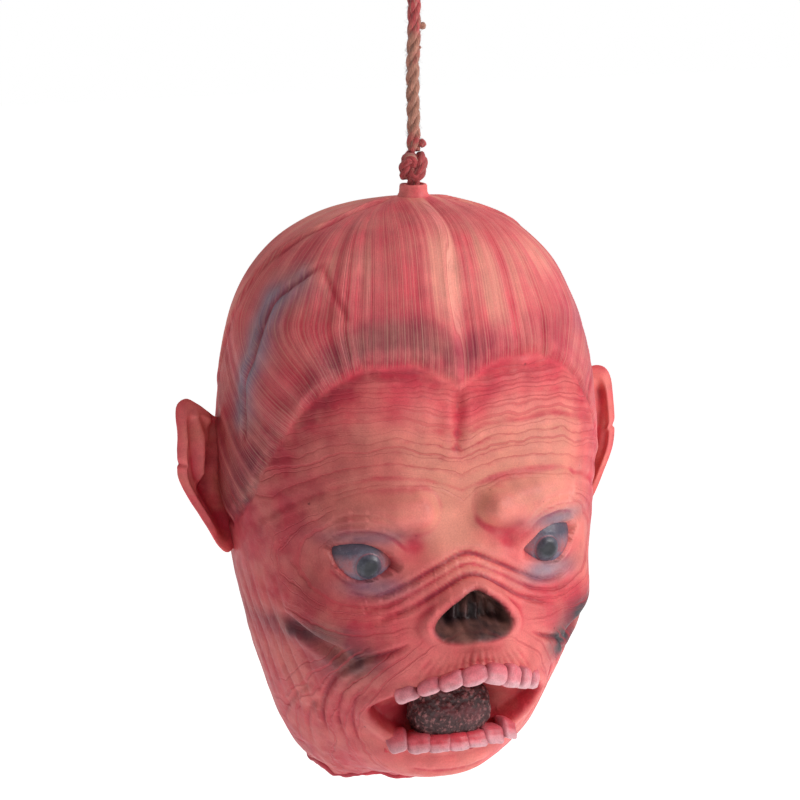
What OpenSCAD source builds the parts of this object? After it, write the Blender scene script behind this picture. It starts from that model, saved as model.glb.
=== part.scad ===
// Hanging latex head on a jute rope.
// The frame has +Z up and its origin at the inside top of the hanging loop, where a hook carries it.
// The face looks along -Y, and left and right are the head's own.

/* [Head] */
// Width of the head without its ears
head_w = 178; // [149:1:214]
// Depth of the head from the snout to the back of the skull
head_d = 170; // [142:1:204]
// Height of the head from the crown to the underside of the chin
head_h = 270; // [225:1:324]
// Thickness of the latex wall
wall = 2.6; // [2:0.1:3.4]

/* [Collar] */
// Outer diameter of the collar on the crown
collar_od = 12.4; // [11.5:0.1:15]
// Bore of the collar
collar_bore = 8; // [7.4:0.1:9.6]
// Height of the collar above the crown
collar_h = 7; // [5:0.5:10]

/* [Ears] */
// Height of an ear
ear_h = 62; // [52:1:74]
// Width of an ear from its root to its rim
ear_w = 30; // [25:1:36]
// Thickness of an ear
ear_t = 13; // [11:0.5:15.5]

/* [Eyes] */
// Radius of the eyeball's front surface
eye_r = 17; // [15:0.5:20]
// Width of the eye dome
eye_w = 31; // [27:0.5:34]

/* [Mouth] */
// Number of upper teeth
upper_count = 8; // [6:1:10]
// Number of lower teeth
lower_count = 7; // [5:1:9]
// Thickness of an upper tooth
upper_tooth_d = 8.4; // [7:0.1:10]
// Thickness of a lower tooth
lower_tooth_d = 6.4; // [5.4:0.1:7.6]
// Width of the tongue
tongue_w = 40; // [34:1:46]

/* [Rope] */
// Diameter of the rope
rope_d = 6.3; // [5.3:0.1:6.9]
// Free length of the rope between the loop knot and the stop knot
rope_len = 80; // [67:1:160]
// Outer diameter of the stop knot above the collar
stop_knot_d = 14.4; // [13:0.1:17]
// Outer diameter of the knot inside the crown
inner_knot_d = 18; // [16:0.5:22]
// Outer diameter of the loop knot
loop_knot_d = 16; // [15:0.5:20]
// Inside width of the hanging loop
loop_w = 22; // [18.5:0.5:30]
// Inside height of the hanging loop
loop_h = 40; // [34:1:60]
// Gap left round every piece that turns in another
turn_gap = 0.35; // [0.3:0.05:0.6]

/* [Hidden] */

rope_r = rope_d / 2;
latex_pink = "#dd7268";
latex_red = "#b63f49";
bone_pink = "#d8929a";
eye_grey = "#6e7991";
mouth_dark = "#4a2c2e";
jute = "#a5604f";

// Heights of the pieces on the rope's line, from the top down
loop_pin_z = -loop_h - rope_r;
loop_knot_lift = 1.8;
swing_pivot_z = loop_pin_z - rope_d - loop_knot_lift;
stop_knot_top = swing_pivot_z - rope_len;
stop_knot_h = 14.5;
collar_top = stop_knot_top - stop_knot_h - turn_gap * 2;
crown_z = collar_top - collar_h;
inner_knot_gap = 1.1;
inner_knot_top = crown_z - wall - inner_knot_gap;
inner_knot_h = 16.5;

// Head stations from the crown hole to the neck rim, in millimetres below and around the crown:
// front y, front z, back y, back z, half width, y of the widest place, squareness of the face,
// rows to the next station
HEAD_W = 178;
HEAD_D = 170;
HEAD_H = 270;
STATIONS = [
    [-5.2, 0, 5.2, 0, 5.2, 0, 2, 1],
    [-15, -1.6, 16, -1.2, 15, 1, 2, 1],
    [-31, -8, 36, -5, 36, 4, 2.1, 2],
    [-44, -24, 56, -15, 59, 7, 2.2, 2],
    [-51, -46, 70, -31, 75, 9, 2.3, 2],
    [-55, -70, 78, -53, 84, 10, 2.4, 2],
    [-57, -94, 81, -79, 88, 10, 2.5, 2],
    [-58, -116, 80, -105, 89, 10, 2.6, 3],
    [-60, -136, 76, -128, 88, 10, 2.6, 3],
    [-62, -157, 71, -150, 86, 9, 2.5, 3],
    [-67, -177, 66, -171, 83, 9, 2.3, 3],
    [-76, -194, 61, -190, 79, 9, 2, 3],
    [-78, -210, 58, -207, 75, 10, 1.9, 3],
    [-64, -232, 55, -223, 69, 11, 1.9, 3],
    [-49, -254, 52, -237, 62, 13, 1.9, 2],
    [-32, -264, 49, -248, 52, 15, 2, 2],
    [-14, -266, 46, -256, 45, 16, 2, 1]
];
BACK_SQUARENESS = 2.2;
columns = 60;
// How much closer the columns stand on the face than at the back
face_crowding = 0.3;

// Swellings and hollows of the face: centre, reach, push. Those off the middle are on both sides.
BUMPS = [
    [[0, -64, -177], 15, [0, -17, -2]],
    [[0, -70, -233], 19, [0, 18, 3]],
    [[18, -62, -232], 14, [0, 10, 2]],
    [[27, -61, -137], 15, [0, -4, 0]],
    [[50, -56, -137], 14, [1, -4, 0]],
    [[47, -57, -157], 13, [-1, 4, 0]],
    [[64, -46, -181], 17, [4, -6, 0]],
    [[12, -38, -262], 18, [0, -3, -3]]
];
ragged_depth = 2.2;

// A point given for the standard head, moved to this head's size and place
function head_point(p) = [
    p.x * head_w / HEAD_W,
    p.y * head_d / HEAD_D,
    crown_z + p.z * head_h / HEAD_H
];

function spline(a, b, c, d, t) = b + t * (c - a + t * (2 * a - 5 * b + 4 * c - d
    + t * (3 * b - a - 3 * c + d))) / 2;

function station(s) =
    let (last = len(STATIONS) - 1)
    let (i = min(floor(s), last - 1))
    let (before = STATIONS[max(i - 1, 0)])
    let (after = STATIONS[min(i + 2, last)])
    [for (k = [0:6]) spline(before[k], STATIONS[i][k], STATIONS[i + 1][k], after[k], s - i)];

function ring_reach(a, half, depth, square) =
    1 / pow(pow(abs(sin(a)) / half, square) + pow(abs(cos(a)) / depth, square), 1 / square);

function base_point(s, a) =
    let (v = station(s))
    let (facing = cos(a) > 0)
    let (depth = facing ? v[5] - v[0] : v[2] - v[5])
    let (r = ring_reach(a, v[4], depth, facing ? v[6] : BACK_SQUARENESS))
    let (y = v[5] - r * cos(a))
    [r * sin(a), y, v[1] + (v[3] - v[1]) * (y - v[0]) / (v[2] - v[0])];

function swell(p, centre, reach, push) =
    push * exp(-pow(norm(p - centre) / reach, 2));

function both_sides(p, b) = b[0].x == 0
    ? swell(p, b[0], b[1], b[2])
    : swell(p, b[0], b[1], b[2])
        + swell(p, [-b[0].x, b[0].y, b[0].z], b[1], [-b[2].x, b[2].y, b[2].z]);

function total(list, i = 0) = i >= len(list) ? [0, 0, 0] : list[i] + total(list, i + 1);

function ragged(s, a) = s < len(STATIONS) - 1.01 ? 0
    : ragged_depth * (sin(7 * a + 40) + 0.6 * sin(17 * a)) / 1.6;

function skin_point(s, a) =
    let (p = base_point(s, a))
    head_point(p + total([for (b = BUMPS) both_sides(p, b)]) + [0, 0, ragged(s, a)]);

ROWS = concat([for (i = [0:len(STATIONS) - 2]) for (j = [0:STATIONS[i][7] - 1])
    i + j / STATIONS[i][7]], [len(STATIONS) - 1]);
ANGLES = [for (j = [0:columns - 1])
    let (a = j * 360 / columns)
    a - face_crowding * sin(a) * 180 / PI];

function unit(v) = v / norm(v);

// Latex shell: an outer wall, the same wall set in by its thickness, and the two open rims
module latex_skin() {
    n = len(ROWS);
    outer = [for (s = ROWS) [for (a = ANGLES) skin_point(s, a)]];
    inner = [for (i = [0:n - 1]) [for (j = [0:columns - 1])
        let (down = outer[min(i + 1, n - 1)][j] - outer[max(i - 1, 0)][j])
        let (round = outer[i][(j + 1) % columns] - outer[i][(j + columns - 1) % columns])
        outer[i][j] - wall * unit(cross(down, round))]];
    rings = concat(outer, [for (i = [n - 1:-1:0]) inner[i]]);
    m = len(rings);
    points = [for (ring = rings) for (p = ring) p];
    faces = [for (i = [0:m - 1]) for (j = [0:columns - 1])
        let (a = i * columns + j)
        let (b = i * columns + (j + 1) % columns)
        let (c = ((i + 1) % m) * columns + (j + 1) % columns)
        let (d = ((i + 1) % m) * columns + j)
        each [[a, b, c], [a, c, d]]];
    color(latex_pink)
        polyhedron(points = points, faces = faces, convexity = 8);
}

// Collar: a short tube with a rounded rim and a flared foot that is let into the crown
collar_foot = 2.4;
collar_sink = 1.2;
module crown_collar() {
    color(latex_pink)
        translate([0, 0, crown_z])
            difference() {
                union() {
                    translate([0, 0, -collar_sink])
                        cylinder(h = collar_h + collar_sink - 1, d = collar_od, $fn = 64);
                    translate([0, 0, collar_h - 1])
                        rotate_extrude($fn = 64)
                            translate([collar_od / 2 - 1, 0])
                                circle(r = 1, $fn = 24);
                    translate([0, 0, collar_h - 2])
                        cylinder(h = 2, d = collar_od - 2, $fn = 64);
                    translate([0, 0, -collar_sink])
                        cylinder(h = collar_foot + collar_sink, r1 = collar_od / 2 + collar_foot,
                            r2 = collar_od / 2, $fn = 64);
                }
                translate([0, 0, -collar_sink - 1])
                    cylinder(h = collar_h + collar_sink + 2, d = collar_bore, $fn = 64);
            }
}

// Ear: a tilted plate with a scooped front, standing out from the side of the head
EAR_PLACE = [-95, 23, -128];
ear_lean = 12;
ear_turn = 30;
module ear_plate() {
    difference() {
        scale([ear_w / ear_h, ear_t / ear_h, 1])
            sphere(d = ear_h, $fn = 32);
        translate([-ear_w * 0.06, -ear_t * 0.62, ear_h * 0.04])
            scale([ear_w / ear_h, ear_t / ear_h, 1])
                sphere(d = ear_h * 0.78, $fn = 24);
    }
}
module ear_right() {
    color(latex_pink)
        translate(head_point(EAR_PLACE))
            rotate([0, ear_lean, ear_turn])
                ear_plate();
}
module ear_left() {
    mirror([1, 0, 0])
        ear_right();
}

// Eye: the front cap of a ball, let into the skin
EYE_PLACE = [-47, -55, -157];
eye_cap = 9;
module eye_right() {
    color(eye_grey)
        translate(head_point(EYE_PLACE))
            rotate([90, 0, -14])
                intersection() {
                    translate([0, 0, -eye_r])
                        sphere(r = eye_r, $fn = 48);
                    translate([0, 0, -eye_cap])
                        cylinder(h = eye_cap + 1, d = eye_w, $fn = 48);
                }
}
module eye_left() {
    mirror([1, 0, 0])
        eye_right();
}

// Teeth: rounded pegs side by side along an arch, each with its own small turn and height
UPPER_END = [36, -61, -221];
UPPER_MIDDLE = [0, -84, -206];
LOWER_END = [30, -45, -243];
LOWER_MIDDLE = [0, -55, -252];
tooth_gap = 0.4;

function arch_point(end, middle, u) =
    head_point([end.x * sin(u * 90), middle.y + (end.y - middle.y) * (1 - cos(u * 90)),
        middle.z + (end.z - middle.z) * (1 - cos(u * 90))]);

module tooth(thick, long) {
    rotate([0, 90, 0]) {
        cylinder(h = long - thick, d = thick, center = true, $fn = 32);
        for (side = [-1, 1])
            translate([0, 0, side * (long - thick) / 2])
                sphere(d = thick, $fn = 32);
    }
}
module tooth_row(end, middle, count, thick, ups) {
    for (i = [0:count - 1]) {
        u = (i + 0.5) * 2 / count - 1;
        here = arch_point(end, middle, u);
        left = arch_point(end, middle, u - 1 / count);
        right = arch_point(end, middle, u + 1 / count);
        span = right - left;
        translate(here + [0, 0, ups * sin(i * 137)])
            rotate([0, -atan2(span.z, norm([span.x, span.y])), atan2(span.y, span.x)])
                tooth(thick, max(thick + 0.2, norm(span) - tooth_gap));
    }
}
module upper_teeth() {
    color(bone_pink)
        tooth_row(UPPER_END, UPPER_MIDDLE, upper_count, upper_tooth_d, 0.5);
}
module lower_teeth() {
    color(bone_pink)
        tooth_row(LOWER_END, LOWER_MIDDLE, lower_count, lower_tooth_d, 0.4);
}

// Tongue: a rounded mass that lies in the mouth between the two rows of teeth
TONGUE_ROOT = [0, -44, -226];
TONGUE_TIP = [0, -48, -240];
tongue_root_r = 11;
tongue_tip_r = 7.5;
module tongue() {
    root = head_point(TONGUE_ROOT);
    tip = head_point(TONGUE_TIP);
    color(mouth_dark)
        hull()
            for (side = [-1, 1]) {
                translate(root + [side * (tongue_w / 2 - tongue_root_r), 0, 0])
                    sphere(r = tongue_root_r, $fn = 24);
                translate(tip + [side * (tongue_w / 2 - tongue_root_r - 2), 0, 0])
                    sphere(r = tongue_tip_r, $fn = 24);
            }
}

// Rope: its route from the swing pivot down to the stop knot, with the small waver of jute,
// and a rounded top end that turns in the loop knot's socket
ROPE_WAVER = [[0, 0], [0.3, 0.1], [0.2, -0.2], [-0.3, 0], [-0.2, 0.2], [0.1, 0.1], [0, 0]];
rope_sides = 12;
dome_rings = 3;
dome_step = 27;
function rope_route() = [for (i = [0:len(ROPE_WAVER) - 1])
    [ROPE_WAVER[i].x, ROPE_WAVER[i].y, swing_pivot_z - rope_len * i / (len(ROPE_WAVER) - 1)]];

module tube(route, radii, sides) {
    last = len(route) - 1;
    rings = [for (i = [0:last])
        let (along = unit(route[min(i + 1, last)] - route[max(i - 1, 0)]))
        let (across = unit(cross([0, 1, 0], along)))
        let (out = cross(along, across))
        [for (k = [0:sides - 1])
            route[i] + radii[i] * (cos(k * 360 / sides) * across
                + sin(k * 360 / sides) * out)]];
    walls = [for (i = [0:last - 1]) for (k = [0:sides - 1])
        let (a = i * sides + k)
        let (b = i * sides + (k + 1) % sides)
        each [[a, b + sides, b], [a, a + sides, b + sides]]];
    ends = [[for (k = [0:sides - 1]) k],
        [for (k = [sides - 1:-1:0]) last * sides + k]];
    polyhedron(points = [for (ring = rings) for (p = ring) p], faces = concat(walls, ends));
}
module rope() {
    dome = [for (k = [dome_rings:-1:1]) k * dome_step];
    straight = rope_route();
    color(jute)
        tube(concat([for (a = dome) [0, 0, swing_pivot_z + rope_r * sin(a)]], straight),
            concat([for (a = dome) rope_r * cos(a)], [for (p = straight) rope_r]), rope_sides);
}

// Knot: turns of rope stacked round a core
module turns(d, h, count) {
    lay = (h - rope_d) / (count - 1);
    for (i = [0:count - 1])
        translate([0, 0, rope_r + i * lay])
            rotate_extrude($fn = 48)
                translate([d / 2 - rope_r, 0])
                    circle(r = rope_r, $fn = 24);
    cylinder(h = h, r = d / 2 - rope_r, $fn = 48);
}
module stop_knot() {
    color(jute)
        translate([0, 0, stop_knot_top - stop_knot_h])
            turns(stop_knot_d, stop_knot_h, 3);
}
module rope_neck() {
    color(jute)
        translate([0, 0, inner_knot_top])
            cylinder(h = stop_knot_top - stop_knot_h - inner_knot_top, r = rope_r, $fn = 48);
}
module inner_knot() {
    color(jute)
        translate([0, 0, inner_knot_top - inner_knot_h])
            turns(inner_knot_d, inner_knot_h, 3);
}

// Loop knot: it turns on the loop's bottom run, and the rope swings in the socket under it
socket_r = rope_r + turn_gap;
swing_limit = 45;
swing_room = 0.7;
socket_band = 3;
flare_h = socket_r * sin(swing_limit);
knot_rim = 1;
loop_knot_over = 4.6;
module loop_knot() {
    flare = rope_r / cos(swing_limit) + swing_room;
    bottom = swing_pivot_z - knot_rim;
    height = loop_pin_z + rope_r + loop_knot_over - bottom;
    color(jute)
        difference() {
            translate([0, 0, bottom])
                turns(loop_knot_d, height, 4);
            translate([0, 0, loop_pin_z])
                rotate([0, 90, 0])
                    cylinder(h = loop_knot_d + 2, r = socket_r, center = true, $fn = 48);
            translate([0, 0, swing_pivot_z])
                sphere(r = socket_r, $fn = 48);
            translate([0, 0, swing_pivot_z])
                rotate([90, 0, 0])
                    cylinder(h = socket_band, r = socket_r, center = true, $fn = 48);
            translate([0, 0, bottom])
                cylinder(h = knot_rim + flare_h, r1 = flare + knot_rim, r2 = flare - flare_h, $fn = 48);
            translate([0, 0, bottom - turn_gap])
                cylinder(h = 2 * turn_gap, r = flare + knot_rim, $fn = 48);
        }
}

// Hanging loop: a closed ring of rope with a half-round top and a straight run at the bottom
corner_r = 6;
module rope_bend(r, angle) {
    rotate_extrude(angle = angle, $fn = 64)
        translate([r, 0])
            circle(r = rope_r, $fn = 24);
}
module hanging_loop() {
    ring_r = loop_w / 2 + rope_r;
    leg_top = -loop_w / 2;
    leg_bottom = loop_pin_z + corner_r;
    color(jute) {
        translate([0, 0, leg_top])
            rotate([90, 0, 0])
                rope_bend(ring_r, 180);
        for (side = [0, 1])
            mirror([side, 0, 0]) {
                translate([ring_r, 0, leg_bottom])
                    cylinder(h = leg_top - leg_bottom, r = rope_r, $fn = 24);
                translate([ring_r - corner_r, 0, leg_bottom])
                    rotate([90, 0, 0])
                        rotate([0, 0, 270])
                            rope_bend(corner_r, 90);
            }
        translate([0, 0, loop_pin_z])
            rotate([0, 90, 0])
                cylinder(h = 2 * (ring_r - corner_r), r = rope_r, center = true, $fn = 24);
    }
}

latex_skin();
crown_collar();
ear_right();
ear_left();
eye_right();
eye_left();
upper_teeth();
lower_teeth();
tongue();
rope();
stop_knot();
rope_neck();
inner_knot();
loop_knot();
hanging_loop();
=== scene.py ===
import math

import bmesh
import bpy
import numpy as np
from bpy.props import (
    FloatProperty,
    FloatVectorProperty,
    IntProperty,
    PointerProperty,
)
from bpy.types import Operator, Panel, PropertyGroup
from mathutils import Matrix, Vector
from mathutils.kdtree import KDTree


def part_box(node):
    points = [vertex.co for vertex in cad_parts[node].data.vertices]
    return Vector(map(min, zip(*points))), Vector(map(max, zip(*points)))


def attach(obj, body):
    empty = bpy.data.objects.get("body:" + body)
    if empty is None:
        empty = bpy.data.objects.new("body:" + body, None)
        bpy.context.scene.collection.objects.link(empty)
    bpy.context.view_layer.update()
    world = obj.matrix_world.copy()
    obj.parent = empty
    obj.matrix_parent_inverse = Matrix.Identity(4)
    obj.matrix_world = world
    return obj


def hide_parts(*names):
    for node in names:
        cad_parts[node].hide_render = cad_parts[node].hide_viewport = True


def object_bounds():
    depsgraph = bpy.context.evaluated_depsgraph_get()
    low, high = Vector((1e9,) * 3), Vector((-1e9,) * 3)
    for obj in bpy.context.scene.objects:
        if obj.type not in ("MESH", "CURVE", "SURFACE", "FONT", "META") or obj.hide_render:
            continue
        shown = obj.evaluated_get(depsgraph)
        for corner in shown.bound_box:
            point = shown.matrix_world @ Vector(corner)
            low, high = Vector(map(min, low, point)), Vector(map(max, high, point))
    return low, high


bl_info = {
    "name": "Hanging Latex Head",
    "version": (1, 0, 0),
    "blender": (4, 5, 0),
    "location": "View3D > Sidebar > Latex Head",
    "description": "Builds a slush-cast latex head that hangs by a knotted jute rope",
    "category": "Object",
}

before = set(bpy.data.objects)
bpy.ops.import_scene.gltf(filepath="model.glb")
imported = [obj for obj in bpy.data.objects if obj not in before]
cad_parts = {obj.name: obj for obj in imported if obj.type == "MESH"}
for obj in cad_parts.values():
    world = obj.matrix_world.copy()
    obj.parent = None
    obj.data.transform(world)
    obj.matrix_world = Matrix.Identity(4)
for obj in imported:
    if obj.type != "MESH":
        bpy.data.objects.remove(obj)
CAD_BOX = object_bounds()
MM = 0.001


def corners(node):
    low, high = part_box(node)
    return np.array(low) / MM, np.array(high) / MM


SKIN_LOW, SKIN_HIGH = corners("latex_skin")
ROPE_D = 6.3
ROPE_WAVER = [(0, 0), (0.3, 0.1), (0.2, -0.2), (-0.3, 0), (-0.2, 0.2), (0.1, 0.1), (0, 0)]
LOOP_CORNER = 6.0
# how far the rope runs up into the loop knot past its swing centre
TUCKED_END = 1.6
COLLAR_OUTSIDE, COLLAR_BORE = 12.4, 8.0
# The head's own origin: the crown, on the rope's line. All head sizes below are millimetres from it.
CROWN = np.array([0.0, 0.0, SKIN_HIGH[2]])


# ---------------------------------------------------------------- small tools


def deselect():
    bpy.ops.object.select_all(action="DESELECT")


def choose(obj):
    deselect()
    obj.select_set(True)
    bpy.context.view_layer.objects.active = obj


def copy_of_node(node, name):
    obj = bpy.data.objects.new(name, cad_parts[node].data.copy())
    bpy.context.scene.collection.objects.link(obj)
    obj.data.materials.clear()
    choose(obj)
    bpy.ops.object.mode_set(mode="EDIT")
    bpy.ops.mesh.select_all(action="SELECT")
    bpy.ops.mesh.remove_doubles(threshold=0.02 * MM)
    bpy.ops.mesh.tris_convert_to_quads(face_threshold=math.pi, shape_threshold=math.pi)
    bpy.ops.object.mode_set(mode="OBJECT")
    return obj


def keep_faces(obj, wanted):
    """Deletes every face whose index isn't wanted."""
    keep = np.zeros(len(obj.data.polygons), dtype=bool)
    keep[list(wanted)] = True
    choose(obj)
    obj.data.polygons.foreach_set("select", ~keep)
    bpy.ops.object.mode_set(mode="EDIT")
    bpy.ops.mesh.select_mode(type="FACE")
    bpy.ops.object.mode_set(mode="OBJECT")
    obj.data.polygons.foreach_set("select", ~keep)
    bpy.ops.object.mode_set(mode="EDIT")
    bpy.ops.mesh.delete(type="FACE")
    bpy.ops.object.mode_set(mode="OBJECT")


def grown_faces(mesh, start_at, sharp_deg):
    """Faces reached from the one furthest along start_at without crossing an edge sharper than sharp_deg."""
    bm = bmesh.new()
    bm.from_mesh(mesh)
    bm.faces.ensure_lookup_table()
    first = max(bm.faces, key=lambda f: f.calc_center_median().dot(start_at))
    seen = {first.index}
    queue = [first]
    while queue:
        for edge in queue.pop().edges:
            if len(edge.link_faces) != 2 or edge.calc_face_angle(0) > math.radians(sharp_deg):
                continue
            for face in edge.link_faces:
                if face.index not in seen:
                    seen.add(face.index)
                    queue.append(face)
    bm.free()
    return seen


def subdivided(obj, levels):
    choose(obj)
    mod = obj.modifiers.new("Smooth", "SUBSURF")
    mod.levels = levels
    mod.render_levels = levels
    bpy.ops.object.modifier_apply(modifier=mod.name)


def points_of(mesh):
    co = np.empty(len(mesh.vertices) * 3)
    mesh.vertices.foreach_get("co", co)
    return co.reshape(-1, 3)


def set_points(mesh, co):
    mesh.vertices.foreach_set("co", np.ascontiguousarray(co).ravel())
    mesh.update()


def normals_of(mesh):
    out = np.empty(len(mesh.vertices) * 3)
    mesh.vertex_normals.foreach_get("vector", out)
    return out.reshape(-1, 3)


def paint_layer(mesh, name, rgb):
    layer = mesh.color_attributes.new(name=name, type="FLOAT_COLOR", domain="POINT")
    rgba = np.ones((len(rgb), 4))
    rgba[:, :3] = rgb
    layer.data.foreach_set("color", rgba.ravel())


def value_layer(mesh, name, values):
    layer = mesh.attributes.new(name=name, type="FLOAT", domain="POINT")
    layer.data.foreach_set("value", np.ascontiguousarray(values, dtype=np.float32))


def smooth_step(a, b, x):
    t = np.clip((x - a) / (b - a), 0, 1)
    return t * t * (3 - 2 * t)


def lattice(ix, iy, iz, seed):
    h = (ix * 374761393 + iy * 668265263 + iz * 1274126177 + seed * 974634777) & 0xFFFFFFFF
    h = ((h ^ (h >> 13)) * 1103515245) & 0xFFFFFFFF
    return ((h ^ (h >> 16)) & 0xFFFF) / 65535.0


def noise(p, scale, seed=0):
    """Smooth noise from -1 to 1 at points p, with features about scale long."""
    q = np.asarray(p) / scale
    i = np.floor(q).astype(np.int64)
    f = q - i
    f = f * f * (3 - 2 * f)
    total = 0.0
    for dx in (0, 1):
        for dy in (0, 1):
            for dz in (0, 1):
                weight = (
                    (f[:, 0] if dx else 1 - f[:, 0])
                    * (f[:, 1] if dy else 1 - f[:, 1])
                    * (f[:, 2] if dz else 1 - f[:, 2])
                )
                total = total + weight * lattice(i[:, 0] + dx, i[:, 1] + dy, i[:, 2] + dz, seed)
    return total * 2 - 1


def wave_noise(x, seed=0):
    """Smooth noise from -1 to 1 along one number, with features about 1 long."""
    x = np.asarray(x, dtype=float)
    return noise(np.stack([x, np.full_like(x, 0.5), np.full_like(x, 0.5)], axis=-1), 1.0, seed)


def curve_through(points, per_span=6):
    """A Catmull-Rom curve through points, as a dense polyline."""
    p = np.array(points, dtype=float)
    p = np.vstack([2 * p[0] - p[1], p, 2 * p[-1] - p[-2]])
    out = []
    for i in range(1, len(p) - 2):
        for k in range(per_span):
            t = k / per_span
            a, b, c, d = p[i - 1], p[i], p[i + 1], p[i + 2]
            out.append(
                0.5
                * (2 * b + (c - a) * t + (2 * a - 5 * b + 4 * c - d) * t * t + (3 * b - a - 3 * c + d) * t**3)
            )
    out.append(p[-2])
    return np.array(out)


# ---------------------------------------------------------------- clay


class Clay:
    """The head's outer wall as points to be pushed, cut and painted, in millimetres from the crown."""

    def __init__(self, mesh):
        self.mesh = mesh
        self.p = points_of(mesh) / MM - CROWN
        self.n = normals_of(mesh)
        self.base = self.p.copy()
        self.front = self.n[:, 1] < 0.1

    def settle(self):
        """Writes the points to the mesh and takes its new normals."""
        set_points(self.mesh, (self.p + CROWN) * MM)
        self.n = normals_of(self.mesh)

    def lift(self, amount):
        self.p = self.p + self.n * np.asarray(amount)[:, None]

    def push(self, amount, direction):
        d = np.array(direction, dtype=float)
        self.p = self.p + np.asarray(amount)[:, None] * (d / np.linalg.norm(d))

    def on_face(self, xz):
        """Points on the face for pairs of x and z."""
        cand = np.where(self.front & (self.base[:, 1] < 8))[0]
        out = []
        for x, z in xz:
            k = cand[np.argmin((self.base[cand, 0] - x) ** 2 + (self.base[cand, 2] - z) ** 2)]
            out.append([x, self.base[k, 1], z])
        return out

    def on_side(self, yz, side):
        """Points on the side of the head (-1 right, 1 left) for pairs of y and z."""
        cand = np.where(side * self.base[:, 0] > 25)[0]
        out = []
        for y, z in yz:
            k = cand[np.argmin((self.base[cand, 1] - y) ** 2 + (self.base[cand, 2] - z) ** 2)]
            out.append([self.base[k, 0], y, z])
        return out

    def near(self, line, reach, fine=True):
        """Points within reach of a line on the skin: index, distance, signed side and place along it."""
        line = curve_through(line) if fine else np.array(line, dtype=float)
        low, high = line.min(0) - reach, line.max(0) + reach
        idx = np.where(np.all((self.base > low) & (self.base < high), axis=1))[0]
        q = self.base[idx]
        best = np.full(len(idx), 1e9)
        side = np.zeros(len(idx))
        along = np.zeros(len(idx))
        steps = np.linalg.norm(np.diff(line, axis=0), axis=1)
        run = np.concatenate([[0], np.cumsum(steps)])
        for k in range(len(line) - 1):
            a, ab = line[k], line[k + 1] - line[k]
            t = np.clip((q - a) @ ab / max(ab @ ab, 1e-9), 0, 1)
            off = q - a - t[:, None] * ab
            d = np.linalg.norm(off, axis=1)
            closer = d < best
            across = np.cross(ab, self.n[idx[closer]])
            side[closer] = np.sign(np.einsum("ij,ij->i", off[closer], across))
            along[closer] = (run[k] + t[closer] * steps[k]) / run[-1]
            best[closer] = d[closer]
        ok = best < reach
        return idx[ok], best[ok], side[ok], along[ok]


def taper(along, soft=0.18):
    return smooth_step(0, soft, along) * smooth_step(0, soft, 1 - along)


def inside_outline(p2, outline):
    """Signed distance from points in a plane to a closed outline: negative inside."""
    o = np.array(outline, dtype=float)
    best = np.full(len(p2), 1e9)
    inside = np.zeros(len(p2), dtype=bool)
    for k in range(len(o)):
        a, b = o[k], o[(k + 1) % len(o)]
        ab = b - a
        t = np.clip((p2 - a) @ ab / max(ab @ ab, 1e-9), 0, 1)
        best = np.minimum(best, np.linalg.norm(p2 - a - t[:, None] * ab, axis=1))
        if a[1] != b[1]:
            cross = ((a[1] > p2[:, 1]) != (b[1] > p2[:, 1])) & (
                p2[:, 0] < (b[0] - a[0]) * (p2[:, 1] - a[1]) / (b[1] - a[1]) + a[0]
            )
            inside ^= cross
    return np.where(inside, -best, best)


def closed_curve(points, per_span=8):
    p = list(points)
    return curve_through([p[-1]] + p + [p[0], p[1]], per_span)[per_span : -per_span - 1]


# ---------------------------------------------------------------- the head's features
# Pairs are x and z on the face, or y and z on a side; triples are x, y, z. All are written for
# the head's left and used on both sides unless a name says otherwise.

HAIRLINE_ANGLES = [0, 8, 18, 34, 44, 52, 59, 66, 72, 80, 88, 96, 104, 130, 180]
HAIRLINE_Z = [-78, -72, -67, -67, -73, -82, -95, -113, -128, -140, -148, -150, -160, -196, -204]
SEAM = [(8, 3, 0), (41, 0, -9), (67, 12, -27), (78, 18, -46), (84, 27, -68), (87, 31, -95)]
SCAR_BACK = [
    (-53, -23, -25), (-63, -17, -32), (-73, -10, -42), (-80, -11, -62), (-86, -8, -81), (-87, -11, -106),
]
SCAR_FRONT = [(-53, -23, -25), (-52, -32, -34), (-48, -41, -46)]
EYE_CENTRE = (42, -36.5, -155)
EYE_RADIUS = 20
EYE_OUTLINE = [
    (62, -147.5), (55, -145), (47, -145), (38, -149), (30, -157), (38, -161.5), (48, -163), (57, -157),
]
NOSE_OUTLINE = [(0, -168), (8, -172), (15, -178), (19, -185), (15, -190), (6, -191), (0, -190.5)]
MOUTH_OUTLINE = [(0, -206), (20, -209), (34, -216), (42, -224), (38, -232), (26, -241), (11, -246), (0, -247)]
CHEEK_FOLDS = [
    [(58, -166), (44, -170.5), (30, -166), (14, -158), (0, -153)],
    [(60, -173), (44, -176), (30, -171.5), (15, -163), (0, -157.5)],
    [(48, -183), (38, -180), (26, -175), (13, -167), (0, -162)],
    [(25, -181), (14, -172), (6, -167), (0, -164.5)],
]
MUZZLE_FOLDS = [
    ([(26, -189), (38, -195), (50, -200), (57, -211), (57, -229), (51, -246)], 2.0, 1.7),
    ([(46, -203), (52, -213), (52, -229), (46, -245)], 1.3, 1.3),
    ([(45, -209), (48, -218), (47, -231), (41, -247)], 1.1, 1.2),
    ([(59, -222), (60, -234), (54, -250)], 1.0, 1.3),
    ([(62, -214), (65, -228), (62, -244)], 0.9, 1.3),
]
JAW_LINES = [
    [(-4, -150), (-8, -175), (-14, -200), (-16, -224), (-10, -246)],
    [(-14, -152), (-18, -178), (-24, -203), (-25, -226), (-20, -248)],
    [(-24, -158), (-29, -180), (-33, -200), (-35, -222)],
    [(4, -158), (1, -180), (-5, -205), (-6, -232)],
    [(12, -166), (9, -190), (3, -214), (4, -238)],
]


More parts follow.
